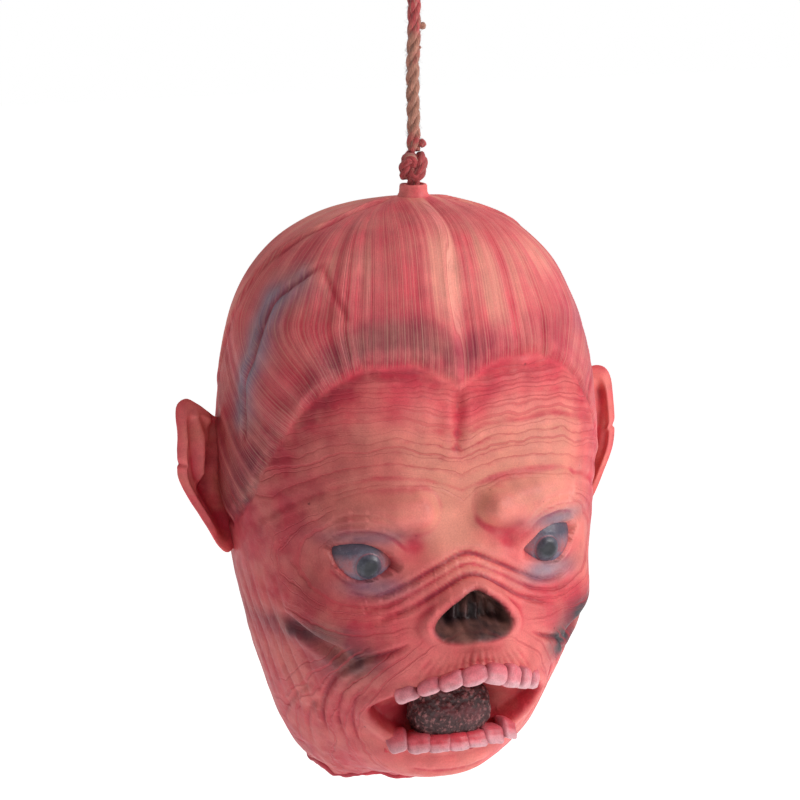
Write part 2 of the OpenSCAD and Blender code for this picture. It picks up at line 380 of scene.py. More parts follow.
def mirrored(outline):
    """A closed outline from its left half, which runs from the top middle to the bottom middle."""
    return outline + [(-x, z) for x, z in outline[-2:0:-1]]


def bearing(p):
    """Angle round the head from the face, in degrees, positive on the head's left."""
    return np.degrees(np.arctan2(p[:, 0], 10 - p[:, 1]))


def hair_height(p):
    """Height above the hairline in millimetres: positive where there is hair."""
    a = np.abs(bearing(p))
    line = np.interp(a, HAIRLINE_ANGLES, HAIRLINE_Z)
    wobble = 1.2 * noise(p, 9, 3) + 0.8 * noise(p, 3.5, 4)
    return p[:, 2] - line + wobble


def strand_phase(p):
    """A number that stays the same along each combed strand of hair, in degrees round the head."""
    a = bearing(p)
    combed = np.degrees(np.arctan2(p[:, 0], 42 - p[:, 1])) * 1.5
    a = a + (combed - a) * smooth_step(75, 30, np.abs(a)) * smooth_step(40, 5, p[:, 1])
    side = np.tanh(a / 8)
    z = p[:, 2]
    tilt = 0.85 * (np.minimum(z + 48, 0) - 9 * np.exp(np.minimum(z + 48, 0) / 9) + 9)
    front = np.abs(a) - np.minimum(tilt * smooth_step(30, 62, np.abs(a)), 30)
    drift = 1.6 * noise(p, 34, 5)
    return side * front + drift


def behind_seam(p):
    """1 behind the seam that runs from the collar to the tops of the ears, 0 in front of it."""
    seam = np.array(SEAM, dtype=float)
    z = np.clip(p[:, 2], -150, 0)
    y_at = np.interp(-z, -seam[:, 2], seam[:, 1])
    return smooth_step(-2, 2, p[:, 1] - y_at - 1)


def fold(clay, line, depth, width, step=0.0, soft=0.18):
    """A crease with rounded shoulders; step raises the ground on its one side."""
    idx, d, side, along = clay.near(line, width * 4.5)
    end = taper(along, soft)
    cut = -depth * np.exp(-((d / width) ** 2))
    shoulders = 0.24 * depth * np.exp(-(((d - 2.1 * width) / (1.1 * width)) ** 2))
    rise = step * side * smooth_step(0, width, d) * np.exp(-((d / (2.6 * width)) ** 2))
    amount = np.zeros(len(clay.p))
    amount[idx] = end * (cut + shoulders + rise)
    clay.lift(amount)


def both(line):
    return [line, [(-q[0],) + tuple(q[1:]) for q in line]]


def shape_brows(clay):
    x, z = clay.base[:, 0], clay.base[:, 2]
    face = smooth_step(-20, -35, clay.base[:, 1])
    for a, b, reach, height in [
        ((-60, -133), (-22, -132), 9.5, 4.6),
        ((16, -132), (50, -129), 10.0, 5.2),
        ((16, -134), (30, -146), 8.0, 3.4),
    ]:
        a, b = np.array(a, dtype=float), np.array(b, dtype=float)
        ab = b - a
        q = np.stack([x, z], axis=1) - a
        t = np.clip(q @ ab / (ab @ ab), 0, 1)
        d = np.linalg.norm(q - t[:, None] * ab, axis=1)
        inner = t if a[0] < -30 else 1 - 0.7 * t
        clay.lift(height * face * (0.3 + 0.7 * inner) * smooth_step(reach + 2.5, 0.15 * reach, d))
    hollow = np.exp(-(((np.abs(x) - 24) / 8) ** 2) - (((z + 148) / 7) ** 2))
    clay.lift(-3.2 * face * hollow)


def shape_eyes(clay):
    q = clay.base
    for side in (-1, 1):
        flat = np.stack([side * q[:, 0], q[:, 2]], axis=1)
        across, up = flat.T
        around = (q[:, 1] < -20) & (across > 18) & (across < 76) & (up > -180) & (up < -130)
        idx = np.where(around)[0]
        s = inside_outline(flat[idx], closed_curve(EYE_OUTLINE))
        centre = np.array([side * EYE_CENTRE[0], EYE_CENTRE[1], EYE_CENTRE[2]])
        out = clay.p[idx] - centre
        r = np.linalg.norm(out, axis=1)
        upper = smooth_step(-158, -150, flat[idx, 1])
        swelling = (1.5 + 0.9 * upper) * np.exp(-((np.maximum(s, 0) / 9) ** 2))
        lid = EYE_RADIUS + swelling - 0.2 * np.maximum(s - 5, 0)
        raised = np.maximum(r, lid)
        target = np.where(s < 0, EYE_RADIUS - 4, raised)
        edge = smooth_step(-0.9, 0.5, s)
        wanted = (EYE_RADIUS - 4) * (1 - edge) + np.where(s > -0.9, raised, target) * edge
        clay.p[idx] = centre + out * (wanted / r)[:, None]


def shape_nose(clay):
    q = clay.base
    outline = closed_curve(mirrored(NOSE_OUTLINE))
    idx = np.where((np.abs(q[:, 0]) < 34) & (q[:, 2] > -204) & (q[:, 2] < -154) & (q[:, 1] < -40))[0]
    flat = q[idx][:, [0, 2]]
    s = inside_outline(flat, outline)
    rim = 2.4 * np.exp(-(((s - 2.6) / 2.8) ** 2)) * smooth_step(-194, -184, flat[:, 1])
    amount = np.zeros(len(q))
    amount[idx] = rim
    clay.lift(amount)
    ridges = 1.1 * np.cos(flat[:, 0] * 2 * math.pi / 5.2) * smooth_step(-2, -5, s)
    amount = np.zeros(len(q))
    foot = smooth_step(-180, -189, flat[:, 1])
    amount[idx] = 14 * smooth_step(0.4, -4.2 - 3.5 * foot, s) + ridges
    clay.push(amount, (0, 1, 0.25))


def shape_mouth(clay):
    q = clay.base
    outline = closed_curve(mirrored(MOUTH_OUTLINE))
    idx = np.where((np.abs(q[:, 0]) < 58) & (q[:, 2] > -268) & (q[:, 2] < -192) & (q[:, 1] < -20))[0]
    flat = q[idx][:, [0, 2]]
    s = inside_outline(flat, outline)
    amount = np.zeros(len(q))
    amount[idx] = 1.7 * np.exp(-(((s - 2.2) / 2.4) ** 2))
    clay.lift(amount)
    amount = np.zeros(len(q))
    amount[idx] = 9 * smooth_step(0.6, -4.5, s)
    clay.push(amount, (0, 1, 0.1))
    return idx, s


def shape_folds(clay):
    for line, depth, width in zip(CHEEK_FOLDS, (1.35, 0.6, 1.0, 0.6), (1.2, 1.0, 1.1, 1.0)):
        whole = line + [(-x, z) for x, z in line[-2::-1]]
        fold(clay, clay.on_face(whole), depth, width, step=-0.35, soft=0.12)
    for line, depth, width in MUZZLE_FOLDS:
        for one in both(line):
            fold(clay, clay.on_face(one), 0.85 * depth, 0.72 * width)
    for line in JAW_LINES:
        for side in (-1, 1):
            fold(clay, clay.on_side(line, side), 0.6, 1.3, soft=0.3)
    for one in both([(51, -201), (60, -196), (69, -190), (76, -182)]):
        fold(clay, clay.on_face(one), 3.2, 3.0, soft=0.25)
    fold(clay, clay.on_face([(-1, -79), (-1, -92), (-2, -110)]), 1.4, 2.6)
    fold(clay, clay.on_face([(-22, -257), (-8, -261), (8, -261), (22, -257)]), 0.9, 1.6)
    for t in np.linspace(-1, 1, 15):
        bend = 2 * math.sin(7 * t)
        line = [
            (t * 17, -192 - 1.5 * abs(t)),
            (t * 23 + bend * 0.3, -198 - 2 * abs(t)),
            (t * 30, -204 - 6 * t * t),
        ]
        fold(clay, clay.on_face(line), 0.65, 0.8, soft=0.35)
    for side in (-1, 1):
        for k, (depth, dz) in enumerate([(1.1, 0.0), (0.8, 3.6), (0.6, 7.0)]):
            line = [
                (side * (66 + k), -150 + dz * 0.3),
                (side * 58, -141.5 + dz),
                (side * 47, -139.5 + dz),
                (side * 36, -143 + dz),
                (side * (26 - k), -152 + dz * 0.6),
            ]
            fold(clay, clay.on_face(line), depth, 0.9, step=0.25 * side)


def wrinkle(phase, seed, sharp=3.0):
    """Valleys at whole values of phase, each with its own depth."""
    own = 0.7 + 0.5 * wave_noise(np.round(phase) * 1.7 + 0.37, seed)
    off = np.abs(phase - np.round(phase)) * 2
    return own * (1 - off**0.9) ** sharp


def shape_wrinkles(clay, depth):
    q = clay.base
    x, z = q[:, 0], q[:, 2]
    face = smooth_step(5, -22, q[:, 1])
    skin = smooth_step(1.5, -3, hair_height(q))
    ax = np.abs(x)
    warp = 1.6 * noise(q, 16, 11) + 0.6 * noise(q, 6, 12)
    around_brow = np.sqrt(((ax - 34) / 1.5) ** 2 + (z + 152) ** 2) + warp
    band = smooth_step(29, 34, around_brow) * smooth_step(86, 80, around_brow)
    band = band * smooth_step(-142, -130, z + 0.25 * ax)
    breaks = np.clip(0.75 + 0.45 * noise(q * np.array([0.35, 0.35, 1.3]), 17, 13), 0.1, 1.2)
    deep = wrinkle(around_brow / 5.8 + 0.5 * wave_noise(around_brow / 9, 27), 21, 1.7)
    amount = -face * skin * band * breaks * 1.15 * deep
    around_eye = np.sqrt(((ax - 46) / 1.25) ** 2 + (z + 154) ** 2) + 0.7 * warp
    below = smooth_step(-150, -158, z) + smooth_step(56, 64, ax)
    ring = smooth_step(14, 17, around_eye) * smooth_step(46, 30, around_eye) * np.clip(below, 0, 1)
    ring = ring * smooth_step(24, 34, ax)
    amount -= face * skin * ring * breaks * 0.5 * wrinkle(around_eye / 4.1, 23, 1.7)
    around_mouth = np.sqrt(x**2 + ((z + 229) / 0.9) ** 2) + warp
    cheek = smooth_step(40, 46, around_mouth) * smooth_step(72, 60, around_mouth) * smooth_step(34, 44, ax)
    cheek = cheek * smooth_step(-192, -205, z)
    amount -= face * cheek * breaks * 0.5 * wrinkle(around_mouth / 4.3, 25, 1.7)
    lumps = 0.12 * noise(q, 5, 32) + 0.35 * noise(q, 18, 33)
    clay.lift(depth * amount + lumps * skin)
    # fine creases are left to the finish, which draws them along these lines
    brow_mask = face * band * (0.35 + 0.65 * breaks)
    eye_mask = face * ring * 0.9
    jaw_mask = 0.75 * smooth_step(-150, -172, z) * smooth_step(62, 72, ax + 0.25 * q[:, 1])
    jaw_mask = jaw_mask * smooth_step(70, 20, q[:, 1])
    mouth_mask = smooth_step(34, 42, around_mouth) * smooth_step(78, 66, around_mouth)
    mouth_mask = mouth_mask * smooth_step(-186, -198, z)
    weight = np.stack([brow_mask, eye_mask, mouth_mask, jaw_mask])
    pick = np.argmax(weight, axis=0)
    down_jaw = q[:, 1] + 0.22 * z + 0.5 * warp
    phase = np.choose(pick, [around_brow, around_eye + 200, around_mouth + 400, down_jaw + 600])
    crease = np.max(weight, axis=0) - np.sort(weight, axis=0)[-2]
    return phase, np.clip(crease, 0, 1) * skin


def strand_relief(phase, p, pitch, seed):
    """Combed strands about pitch degrees wide, with uneven widths and depths."""
    uneven = 1.35 * phase / pitch + 0.3 * noise(p, 26, seed + 5)
    valley = (1 - np.abs(wave_noise(uneven, seed))) ** 3.2
    own = 0.55 + 0.55 * wave_noise(uneven * 0.31, seed + 1)
    drift = 0.75 + 0.6 * noise(p, 15, seed + 2)
    swell = 0.5 * wave_noise(uneven * 0.5, seed + 3)
    return swell - np.clip(own * drift, 0, 1.3) * valley


def shape_hair(clay, depth):
    q = clay.base
    hair = hair_height(q)
    phase = strand_phase(q)
    behind = behind_seam(q)
    grown = smooth_step(-0.8, 2.2, hair)
    crown_fade = smooth_step(7, 16, np.hypot(q[:, 0], q[:, 1]))
    radius = np.hypot(q[:, 0], q[:, 1] - 10) / 80
    wide = strand_relief(phase, q, 5.0, 41) * np.clip(radius, 0.35, 1.1)
    fine = strand_relief(phase + 0.7, q, 2.6, 51) * np.clip(radius, 0.2, 1.1)
    front = 2.1 * wide + 0.8 * fine
    back = 0.55 * wide + 0.4 * fine
    relief = depth * (front * (1 - behind) + back * behind) * crown_fade
    thickness = 1.5 * smooth_step(-1, 7, hair) * (1 - 0.5 * behind)
    clay.lift(grown * (thickness + relief))
    for one in both(SEAM):
        idx, d, _, along = clay.near(one, 7)
        amount = np.zeros(len(q))
        ridge = 1.1 * np.exp(-((d / 1.3) ** 2)) - 0.8 * np.exp(-(((d - 2.6) / 1.6) ** 2))
        amount[idx] = taper(along, 0.06) * ridge
        clay.lift(amount)
    for line, depth, width in [(SCAR_BACK, 2.2, 1.4), (SCAR_FRONT, 1.2, 0.9)]:
        fold(clay, line, depth, width, soft=0.1)
    low = clay.on_face([(57, -71), (66, -78), (73, -92), (77, -108)])
    for one in both(low):
        idx, d, _, along = clay.near(one, 6)
        amount = np.zeros(len(q))
        amount[idx] = taper(along, 0.2) * np.exp(-(d**2))
        clay.lift(amount)
    return hair, phase, behind


def neighbour_mean(mesh, count_of):
    """A function that gives the mean of each point's neighbours."""
    edges = np.empty(len(mesh.edges) * 2, dtype=np.int64)
    mesh.edges.foreach_get("vertices", edges)
    a, b = edges.reshape(-1, 2).T
    count = np.bincount(a, minlength=count_of) + np.bincount(b, minlength=count_of)
    return lambda v: (np.bincount(a, v[b], count_of) + np.bincount(b, v[a], count_of)) / count


def concavity(mesh, p, n):
    """How far each point lies below the mean of its neighbours, over a few rings."""
    spread = neighbour_mean(mesh, len(p))
    smooth = p.copy()
    for _ in range(4):
        smooth = np.stack([spread(smooth[:, k]) for k in range(3)], axis=1)
    hollow = np.einsum("ij,ij->i", smooth - p, n)
    return spread(hollow)


# ---------------------------------------------------------------- paint


def linear(rgb):
    c = np.array(rgb, dtype=float) / 255
    return np.where(c <= 0.04045, c / 12.92, ((c + 0.055) / 1.055) ** 2.4)


PAINTS = {
    "skin": (216, 104, 100),
    "peach": (208, 132, 112),
    "rose": (204, 82, 90),
    "crimson": (184, 40, 58),
    "deep_red": (150, 34, 46),
    "cream": (226, 160, 134),
    "pink_streak": (216, 82, 94),
    "wine": (112, 30, 48),
    "band_red": (166, 34, 62),
    "blue_grey": (112, 128, 148),
    "mauve": (146, 84, 112),
    "charcoal": (52, 46, 52),
    "slate": (88, 92, 112),
    "nose_dark": (34, 20, 22),
    "nose_ridge": (138, 100, 100),
    "gum": (186, 44, 56),
    "pale": (226, 120, 116),
    "tooth": (206, 148, 152),
    "tooth_pink": (216, 108, 118),
    "tooth_edge": (206, 160, 166),
    "tooth_shadow": (150, 74, 84),
}


class Airbrush:
    """Thin coats of paint laid over each other on the points of a mesh, mixed as the eye sees them."""

    def __init__(self, count, first):
        self.coat = np.tile(np.array(PAINTS[first], dtype=float), (count, 1))

    def spray(self, paint, mask):
        m = np.clip(mask, 0, 1)[:, None]
        self.coat = self.coat * (1 - m) + np.array(PAINTS[paint]) * m

    def shade(self, factor):
        self.coat = np.clip(self.coat * factor[:, None], 0, 255)

    def dry(self):
        return linear(self.coat)


def spot(q, centre, size):
    """A soft round spot: 1 at its centre."""
    return np.exp(-np.sum(((q - np.array(centre)) / np.array(size)) ** 2, axis=1))


def paint_head(clay, hair, phase, behind, mouth_idx, mouth_s, hollow, base_coat):
    q = clay.base
    x, y, z = q.T
    ax = np.abs(x)
    face = smooth_step(5, -20, y)
    n1, n2, n3 = noise(q, 26, 61), noise(q, 11, 62), noise(q, 5, 63)
    brush = Airbrush(len(q), "skin")
    brush.coat[:] = 255 * np.array(base_coat) ** (1 / 2.2)
    bare = smooth_step(1.5, -2.5, hair)
    grown = 1 - bare

    # bare skin: rosy sides, peach forehead and nose, crimson under the hairline
    brush.spray("rose", bare * smooth_step(-0.2, 0.6, n1) * 0.55)
    brow = smooth_step(76, 50, ax + 0.25 * n2 * 20) * smooth_step(-86, -100, z) * smooth_step(-158, -146, z)
    brush.spray("peach", bare * face * brow * (0.85 + 0.2 * n2))
    brush.spray("peach", face * 0.6 * spot(q, (0, -60, -156), (22, 30, 16)))
    under = smooth_step(-30, -6, hair - 6 * n2) * smooth_step(60, 10, x)
    brush.spray("crimson", bare * face * smooth_step(-20, -3, hair - 5 * n2) * (0.75 + 0.2 * n3))
    brush.spray("crimson", bare * face * under * 0.8)
    brush.spray("wine", bare * face * smooth_step(-14, -2, hair - 3 * n2) * smooth_step(10, -25, x) * 0.4)
    brush.spray("crimson", bare * 0.8 * smooth_step(60, 78, ax) * smooth_step(-200, -170, z) * face)
    brush.spray("rose", bare * 0.7 * smooth_step(-5, 30, y))
    furrow = np.exp(-(((x + 1) / 5) ** 2)) * smooth_step(-122, -90, z)
    brush.spray("crimson", bare * face * 0.3 * furrow)

    # hair: cream and pink streaks on top, wine band over the forehead, redder at the sides
    streak = 0.5 + 0.5 * wave_noise(phase / 5.5, 71)
    streak = streak * 0.6 + 0.4 * (0.5 + 0.5 * wave_noise(phase / 2.1, 72))
    streak = streak + 0.25 * n1
    top = smooth_step(-60, -38, z + 6 * n1)
    brush.spray("pink_streak", grown * 0.85)
    lit = grown * smooth_step(0.42, 0.75, streak) * (0.28 + 0.4 * top)
    brush.spray("cream", lit * (1 - 0.5 * smooth_step(50, 80, ax)))
    brush.spray("crimson", grown * smooth_step(0.6, 0.25, streak) * 0.55 * (1 - 0.6 * behind))
    band = smooth_step(0, 5, hair) * smooth_step(25, 8, hair + 6 * n1)
    dull = smooth_step(44, -4, x + 8 * n1)
    red = band * (1 - behind) * smooth_step(74, 44, x + 8 * n1) * (0.9 + 0.3 * n2)
    brush.spray("band_red", red * (0.45 + 0.55 * dull))
    dark = band * smooth_step(50, 24, x) * smooth_step(-84, -50, x)
    brush.spray("wine", dark * 0.8 * dull * smooth_step(1.1, 0.5, streak))
    brush.spray("crimson", grown * 0.5 * smooth_step(10, 2, hair))
    side = smooth_step(52, 74, ax) * (1 - behind) * grown
    brush.spray("crimson", side * (0.5 - 0.3 * smooth_step(0, 60, x)))
    brush.spray("pale", grown * behind * (0.45 + 0.25 * n1))
    brush.spray("cream", grown * behind * 0.35 * smooth_step(0.4, 0.8, streak))

    # the head's right side: blue-grey along the long scar, wine in the sideburn
    brush.spray("wine", 0.85 * grown * spot(q, (-84, -14, -122), (32, 28, 38)) * (0.9 + 0.25 * n2))
    brush.spray("charcoal", 0.42 * grown * spot(q, (-84, -8, -134), (22, 22, 22)) * (0.8 + 0.4 * n3))
    # the left temple: mauve
    brush.spray("mauve", 0.5 * grown * spot(q, (76, -20, -60), (20, 18, 26)) * (0.8 + 0.4 * n2))
    brush.spray("mauve", 0.3 * grown * spot(q, (84, -4, -105), (18, 16, 34)))

    # crimson and wine in the hollows, pale on the ridges, by how far each point lies below its neighbours
    brush.spray("crimson", 0.9 * smooth_step(0.02, 0.16, hollow) * (0.75 * bare + 0.5 * grown))
    brush.spray("wine", 0.5 * smooth_step(0.14, 0.34, hollow))
    brush.spray("pale", 0.36 * smooth_step(-0.015, -0.12, hollow))

    # cheeks, smudges and the dimples by the brows
    for side in (-1, 1):
        brush.spray("crimson", 0.85 * spot(q, (side * 50, -54, -178), (19, 26, 7)))
        brush.spray("crimson", 0.7 * spot(q, (side * 62, -48, -186), (17, 30, 12)))
        brush.spray("crimson", 0.6 * spot(q, (side * 25, -58, -148), (5, 30, 6)))
        brush.spray("crimson", 0.5 * spot(q, (side * 55, -40, -200), (12, 40, 14)))
        brush.spray("slate", 0.8 * spot(q, (side * 47, -56, -143), (19, 30, 4.2)))
        brush.spray("slate", 0.55 * spot(q, (side * 46, -54, -165.5), (15, 30, 4.5)))
        brush.spray("blue_grey", 0.6 * spot(q, (side * 42, -54, -167), (12, 30, 4.5)))
        brush.spray("charcoal", 1.2 * spot(q, (side * 66, -35, -188.5), (13, 60, 6.5)) * (0.9 + 0.5 * n3))
        brush.spray("charcoal", 1.2 * spot(q, (side * 52, -50, -200.5), (10, 60, 7.5)) * (0.9 + 0.5 * n3))
        brush.spray("peach", 0.5 * spot(q, (side * 68, -40, -160), (9, 30, 18)))
        brush.spray("pale", 0.5 * spot(q, (side * 22, -60, -197), (16, 40, 8)))
    flat_brow = np.exp(-(((x - 24) / 14) ** 2) - (((z + 146) / 6) ** 2))
    brush.spray("crimson", face * 0.7 * flat_brow)

    # inside of the nose and of the mouth
    flat = q[:, [0, 2]]
    near_nose = (ax < 34) & (z > -204) & (z < -154) & (y < -40)
    s = np.full(len(q), 99.0)
    s[near_nose] = inside_outline(flat[near_nose], closed_curve(mirrored(NOSE_OUTLINE)))
    brush.spray("deep_red", 0.7 * smooth_step(1.6, 0, s))
    brush.spray("nose_dark", smooth_step(0.8, -1.6, s))
    stripes = 0.5 + 0.5 * np.cos(x * 2 * math.pi / 5.2 + math.pi)
    ridges = 0.42 * smooth_step(-2, -5, s) * stripes**3
    brush.spray("nose_ridge", ridges * smooth_step(0.2, 0.8, 0.5 + 0.5 * n3))
    brush.spray("deep_red", 0.6 * face * spot(q, (0, -70, -194), (13, 30, 3.6)))
    m = np.full(len(q), 99.0)
    m[mouth_idx] = mouth_s
    brush.spray("gum", 0.85 * smooth_step(2.0, -0.8, m))
    brush.spray("deep_red", 0.45 * smooth_step(-4, -10, m))
    brush.spray("nose_dark", 0.5 * smooth_step(-12, -20, m))

    # crimson neck edge, then painted shade on the head's right side, turned from the key light
    brush.spray("crimson", smooth_step(-236, -254, z - 0.1 * y + 3 * n2) * 0.8 * smooth_step(-40, -14, y))
    # painted shade: bare skin on the head's right side, turned from the key light, sprayed crimson and
    # darkened
    shade_away_from_key = smooth_step(4, -62, x + 6 * n1) * bare
    brush.spray("crimson", shade_away_from_key * 0.34)
    brush.shade(1 - 0.14 * shade_away_from_key)
    for line, paint, reach, strength in [
        (SCAR_BACK, "blue_grey", 15, 0.95),
        (SCAR_BACK, "crimson", 2.2, 0.7),
        (SCAR_FRONT, "crimson", 2.2, 0.9),
        (SCAR_FRONT, "rose", 6, 0.4),
    ]:
        idx, d, _, along = clay.near(line, reach * 2)
        mask = np.zeros(len(q))
        fade = taper(along, 0.12) if reach > 10 else 1.0
        mask[idx] = strength * fade * np.exp(-((d / (reach * 0.62)) ** 2)) * (0.8 + 0.35 * n2[idx])
        brush.spray(paint, mask)
    brush.shade(1 + 0.06 * n3 + 0.05 * n1)
    return brush.dry()


# ---------------------------------------------------------------- finishes


def effect(name, inputs, outputs):
    """A shader node group: its tree, its input sockets and its output sockets."""
    tree = bpy.data.node_groups.new(name, "ShaderNodeTree")
    for label, kind, value in inputs:
        socket = tree.interface.new_socket(name=label, in_out="INPUT", socket_type=kind)
        socket.default_value = value
    for label, kind in outputs:
        tree.interface.new_socket(name=label, in_out="OUTPUT", socket_type=kind)
    return tree, tree.nodes.new("NodeGroupInput").outputs, tree.nodes.new("NodeGroupOutput").inputs


class Bench:
    """Lays nodes into a tree and joins them."""

    def __init__(self, tree):
        self.tree = tree

    def node(self, kind, plugs=None, **settings):
        made = self.tree.nodes.new(kind)
        for key, value in settings.items():
            setattr(made, key, value)
        for key, value in (plugs or {}).items():
            if isinstance(value, bpy.types.NodeSocket):
                self.tree.links.new(value, made.inputs[key])
            else:
                made.inputs[key].default_value = value
        return made

    def math(self, operation, a, b=0.0, clamp=False):
        return self.node("ShaderNodeMath", {0: a, 1: b}, operation=operation, use_clamp=clamp).outputs[0]

    def blend(self, factor, a, b, mode="MIX"):
        made = self.node("ShaderNodeMix", {0: factor, 6: a, 7: b}, data_type="RGBA", blend_type=mode)
        return made.outputs[2]

    def remap(self, value, low, high, to_low=0.0, to_high=1.0):
        plugs = {"Value": value, "From Min": low, "From Max": high, "To Min": to_low, "To Max": to_high}
        return self.node("ShaderNodeMapRange", plugs).outputs[0]

    def place(self):
        return self.node("ShaderNodeTexCoord").outputs["Object"]

    def attribute(self, name, output="Fac"):
        return self.node("ShaderNodeAttribute", attribute_name=name).outputs[output]

    def grain(self, vector, per_metre, detail=2.0, rough=0.55):
        plugs = {"Vector": vector, "Scale": per_metre, "Detail": detail, "Roughness": rough}
        return self.node("ShaderNodeTexNoise", plugs).outputs[0]

    def along(self, value, scale, detail=2.0):
        plugs = {"W": self.math("MULTIPLY", value, scale), "Scale": 1.0, "Detail": detail}
        return self.node("ShaderNodeTexNoise", plugs, noise_dimensions="1D").outputs[0]


def build_mottle():
    """Uneven thin paint: a second tone in patches, fine speckle and tiny dark pits."""
    tree, given, out = effect(
        "Mottled_Paint",
        [
            ("Color", "NodeSocketColor", (0.8, 0.2, 0.2, 1)),
            ("Second Tone", "NodeSocketColor", (0.8, 0.4, 0.3, 1)),
            ("Patches", "NodeSocketFloat", 0.25),
            ("Speckle", "NodeSocketFloat", 0.3),
            ("Pits", "NodeSocketFloat", 0.5),
        ],
        [("Color", "NodeSocketColor"), ("Pit Mask", "NodeSocketFloat")],
    )
    b = Bench(tree)
    at = b.place()
    patches = b.remap(b.grain(at, 65, 5), 0.42, 0.68)
    colour = b.blend(b.math("MULTIPLY", patches, given["Patches"]), given["Color"], given["Second Tone"])
    fine = b.remap(b.grain(at, 1500, 3), 0.3, 0.7, -1, 1)
    shade = b.math("MULTIPLY_ADD", fine, b.math("MULTIPLY", given["Speckle"], 0.3))
    shade.node.inputs[2].default_value = 1.0
    grey = b.node("ShaderNodeCombineColor", {0: shade, 1: shade, 2: shade}).outputs[0]
    colour = b.blend(1.0, colour, grey, "MULTIPLY")
    cells = b.node("ShaderNodeTexVoronoi", {"Vector": at, "Scale": 75.0}).outputs["Distance"]
    pits = b.math("MULTIPLY", b.remap(cells, 0.06, 0.03), b.remap(b.grain(at, 30), 0.5, 0.56))
    pits = b.math("MULTIPLY", pits, given["Pits"], clamp=True)
    colour = b.blend(pits, colour, (0.08, 0.012, 0.015, 1))
    tree.links.new(colour, out["Color"])
    tree.links.new(pits, out["Pit Mask"])
    return tree


def build_cast_grain():
    """The surface that latex takes from a plaster mould: fine grain, soft lumps and pits."""
    tree, given, out = effect(
        "Cast_Grain",
        [
            ("Fine", "NodeSocketFloat", 1.0),
            ("Lumps", "NodeSocketFloat", 1.0),
            ("Pit Mask", "NodeSocketFloat", 0.0),
        ],
        [("Height", "NodeSocketFloat"), ("Sheen Mask", "NodeSocketFloat")],
    )
    b = Bench(tree)
    at = b.place()
    fine = b.math("MULTIPLY", b.grain(at, 1400, 3), b.math("MULTIPLY", given["Fine"], 0.28))
    lumps = b.math("MULTIPLY", b.grain(at, 260, 3), b.math("MULTIPLY", given["Lumps"], 0.8))
    height = b.math("ADD", fine, lumps)
    height = b.math("SUBTRACT", height, b.math("MULTIPLY", given["Pit Mask"], 0.7))
    tree.links.new(height, out["Height"])
    tree.links.new(b.remap(b.grain(at, 190, 4), 0.3, 0.7), out["Sheen Mask"])
    return tree


def build_fibre():
    """Spun jute: fine fibres that run along each yarn."""
    tree, given, out = effect(
        "Spun_Fibre",
        [("Colour", "NodeSocketColor", (0.4, 0.2, 0.15, 1)), ("Contrast", "NodeSocketFloat", 1.0)],
        [("Colour", "NodeSocketColor"), ("Height", "NodeSocketFloat")],
    )
    b = Bench(tree)
    yarn = b.node("ShaderNodeAttribute", attribute_name="yarn").outputs["Vector"]
    stretched = b.node("ShaderNodeMapping", {"Vector": yarn, "Scale": (5.5, 0.22, 1.0)}).outputs[0]
    fibres = b.grain(stretched, 1.6, 4, 0.65)
    clumps = b.grain(stretched, 0.5, 2)
    spread = b.math("MULTIPLY", given["Contrast"], 0.55)
    tone = b.math("MULTIPLY", b.remap(fibres, 0.3, 0.7, -1, 1), spread)
    tone = b.math("ADD", tone, 1.0)
    grey = b.node("ShaderNodeCombineColor", {0: tone, 1: tone, 2: tone}).outputs[0]
    colour = b.blend(1.0, given["Colour"], grey, "MULTIPLY")
    colour = b.blend(b.remap(clumps, 0.58, 0.72), colour, (0.50, 0.33, 0.24, 1))
    tree.links.new(colour, out["Colour"])
    tree.links.new(b.math("ADD", fibres, b.math("MULTIPLY", clumps, 0.5)), out["Height"])
    return tree


def effect_tree(name):
    makers = {"Mottled_Paint": build_mottle, "Cast_Grain": build_cast_grain, "Spun_Fibre": build_fibre}
    return bpy.data.node_groups.get(name) or makers[name]()


def tone(rgb):
    return tuple(linear(rgb)) + (1.0,)


def blank(name):
    mat = bpy.data.materials.new(name)
    mat.use_nodes = True
    shader = mat.node_tree.nodes["Principled BSDF"]
    return mat, Bench(mat.node_tree), shader


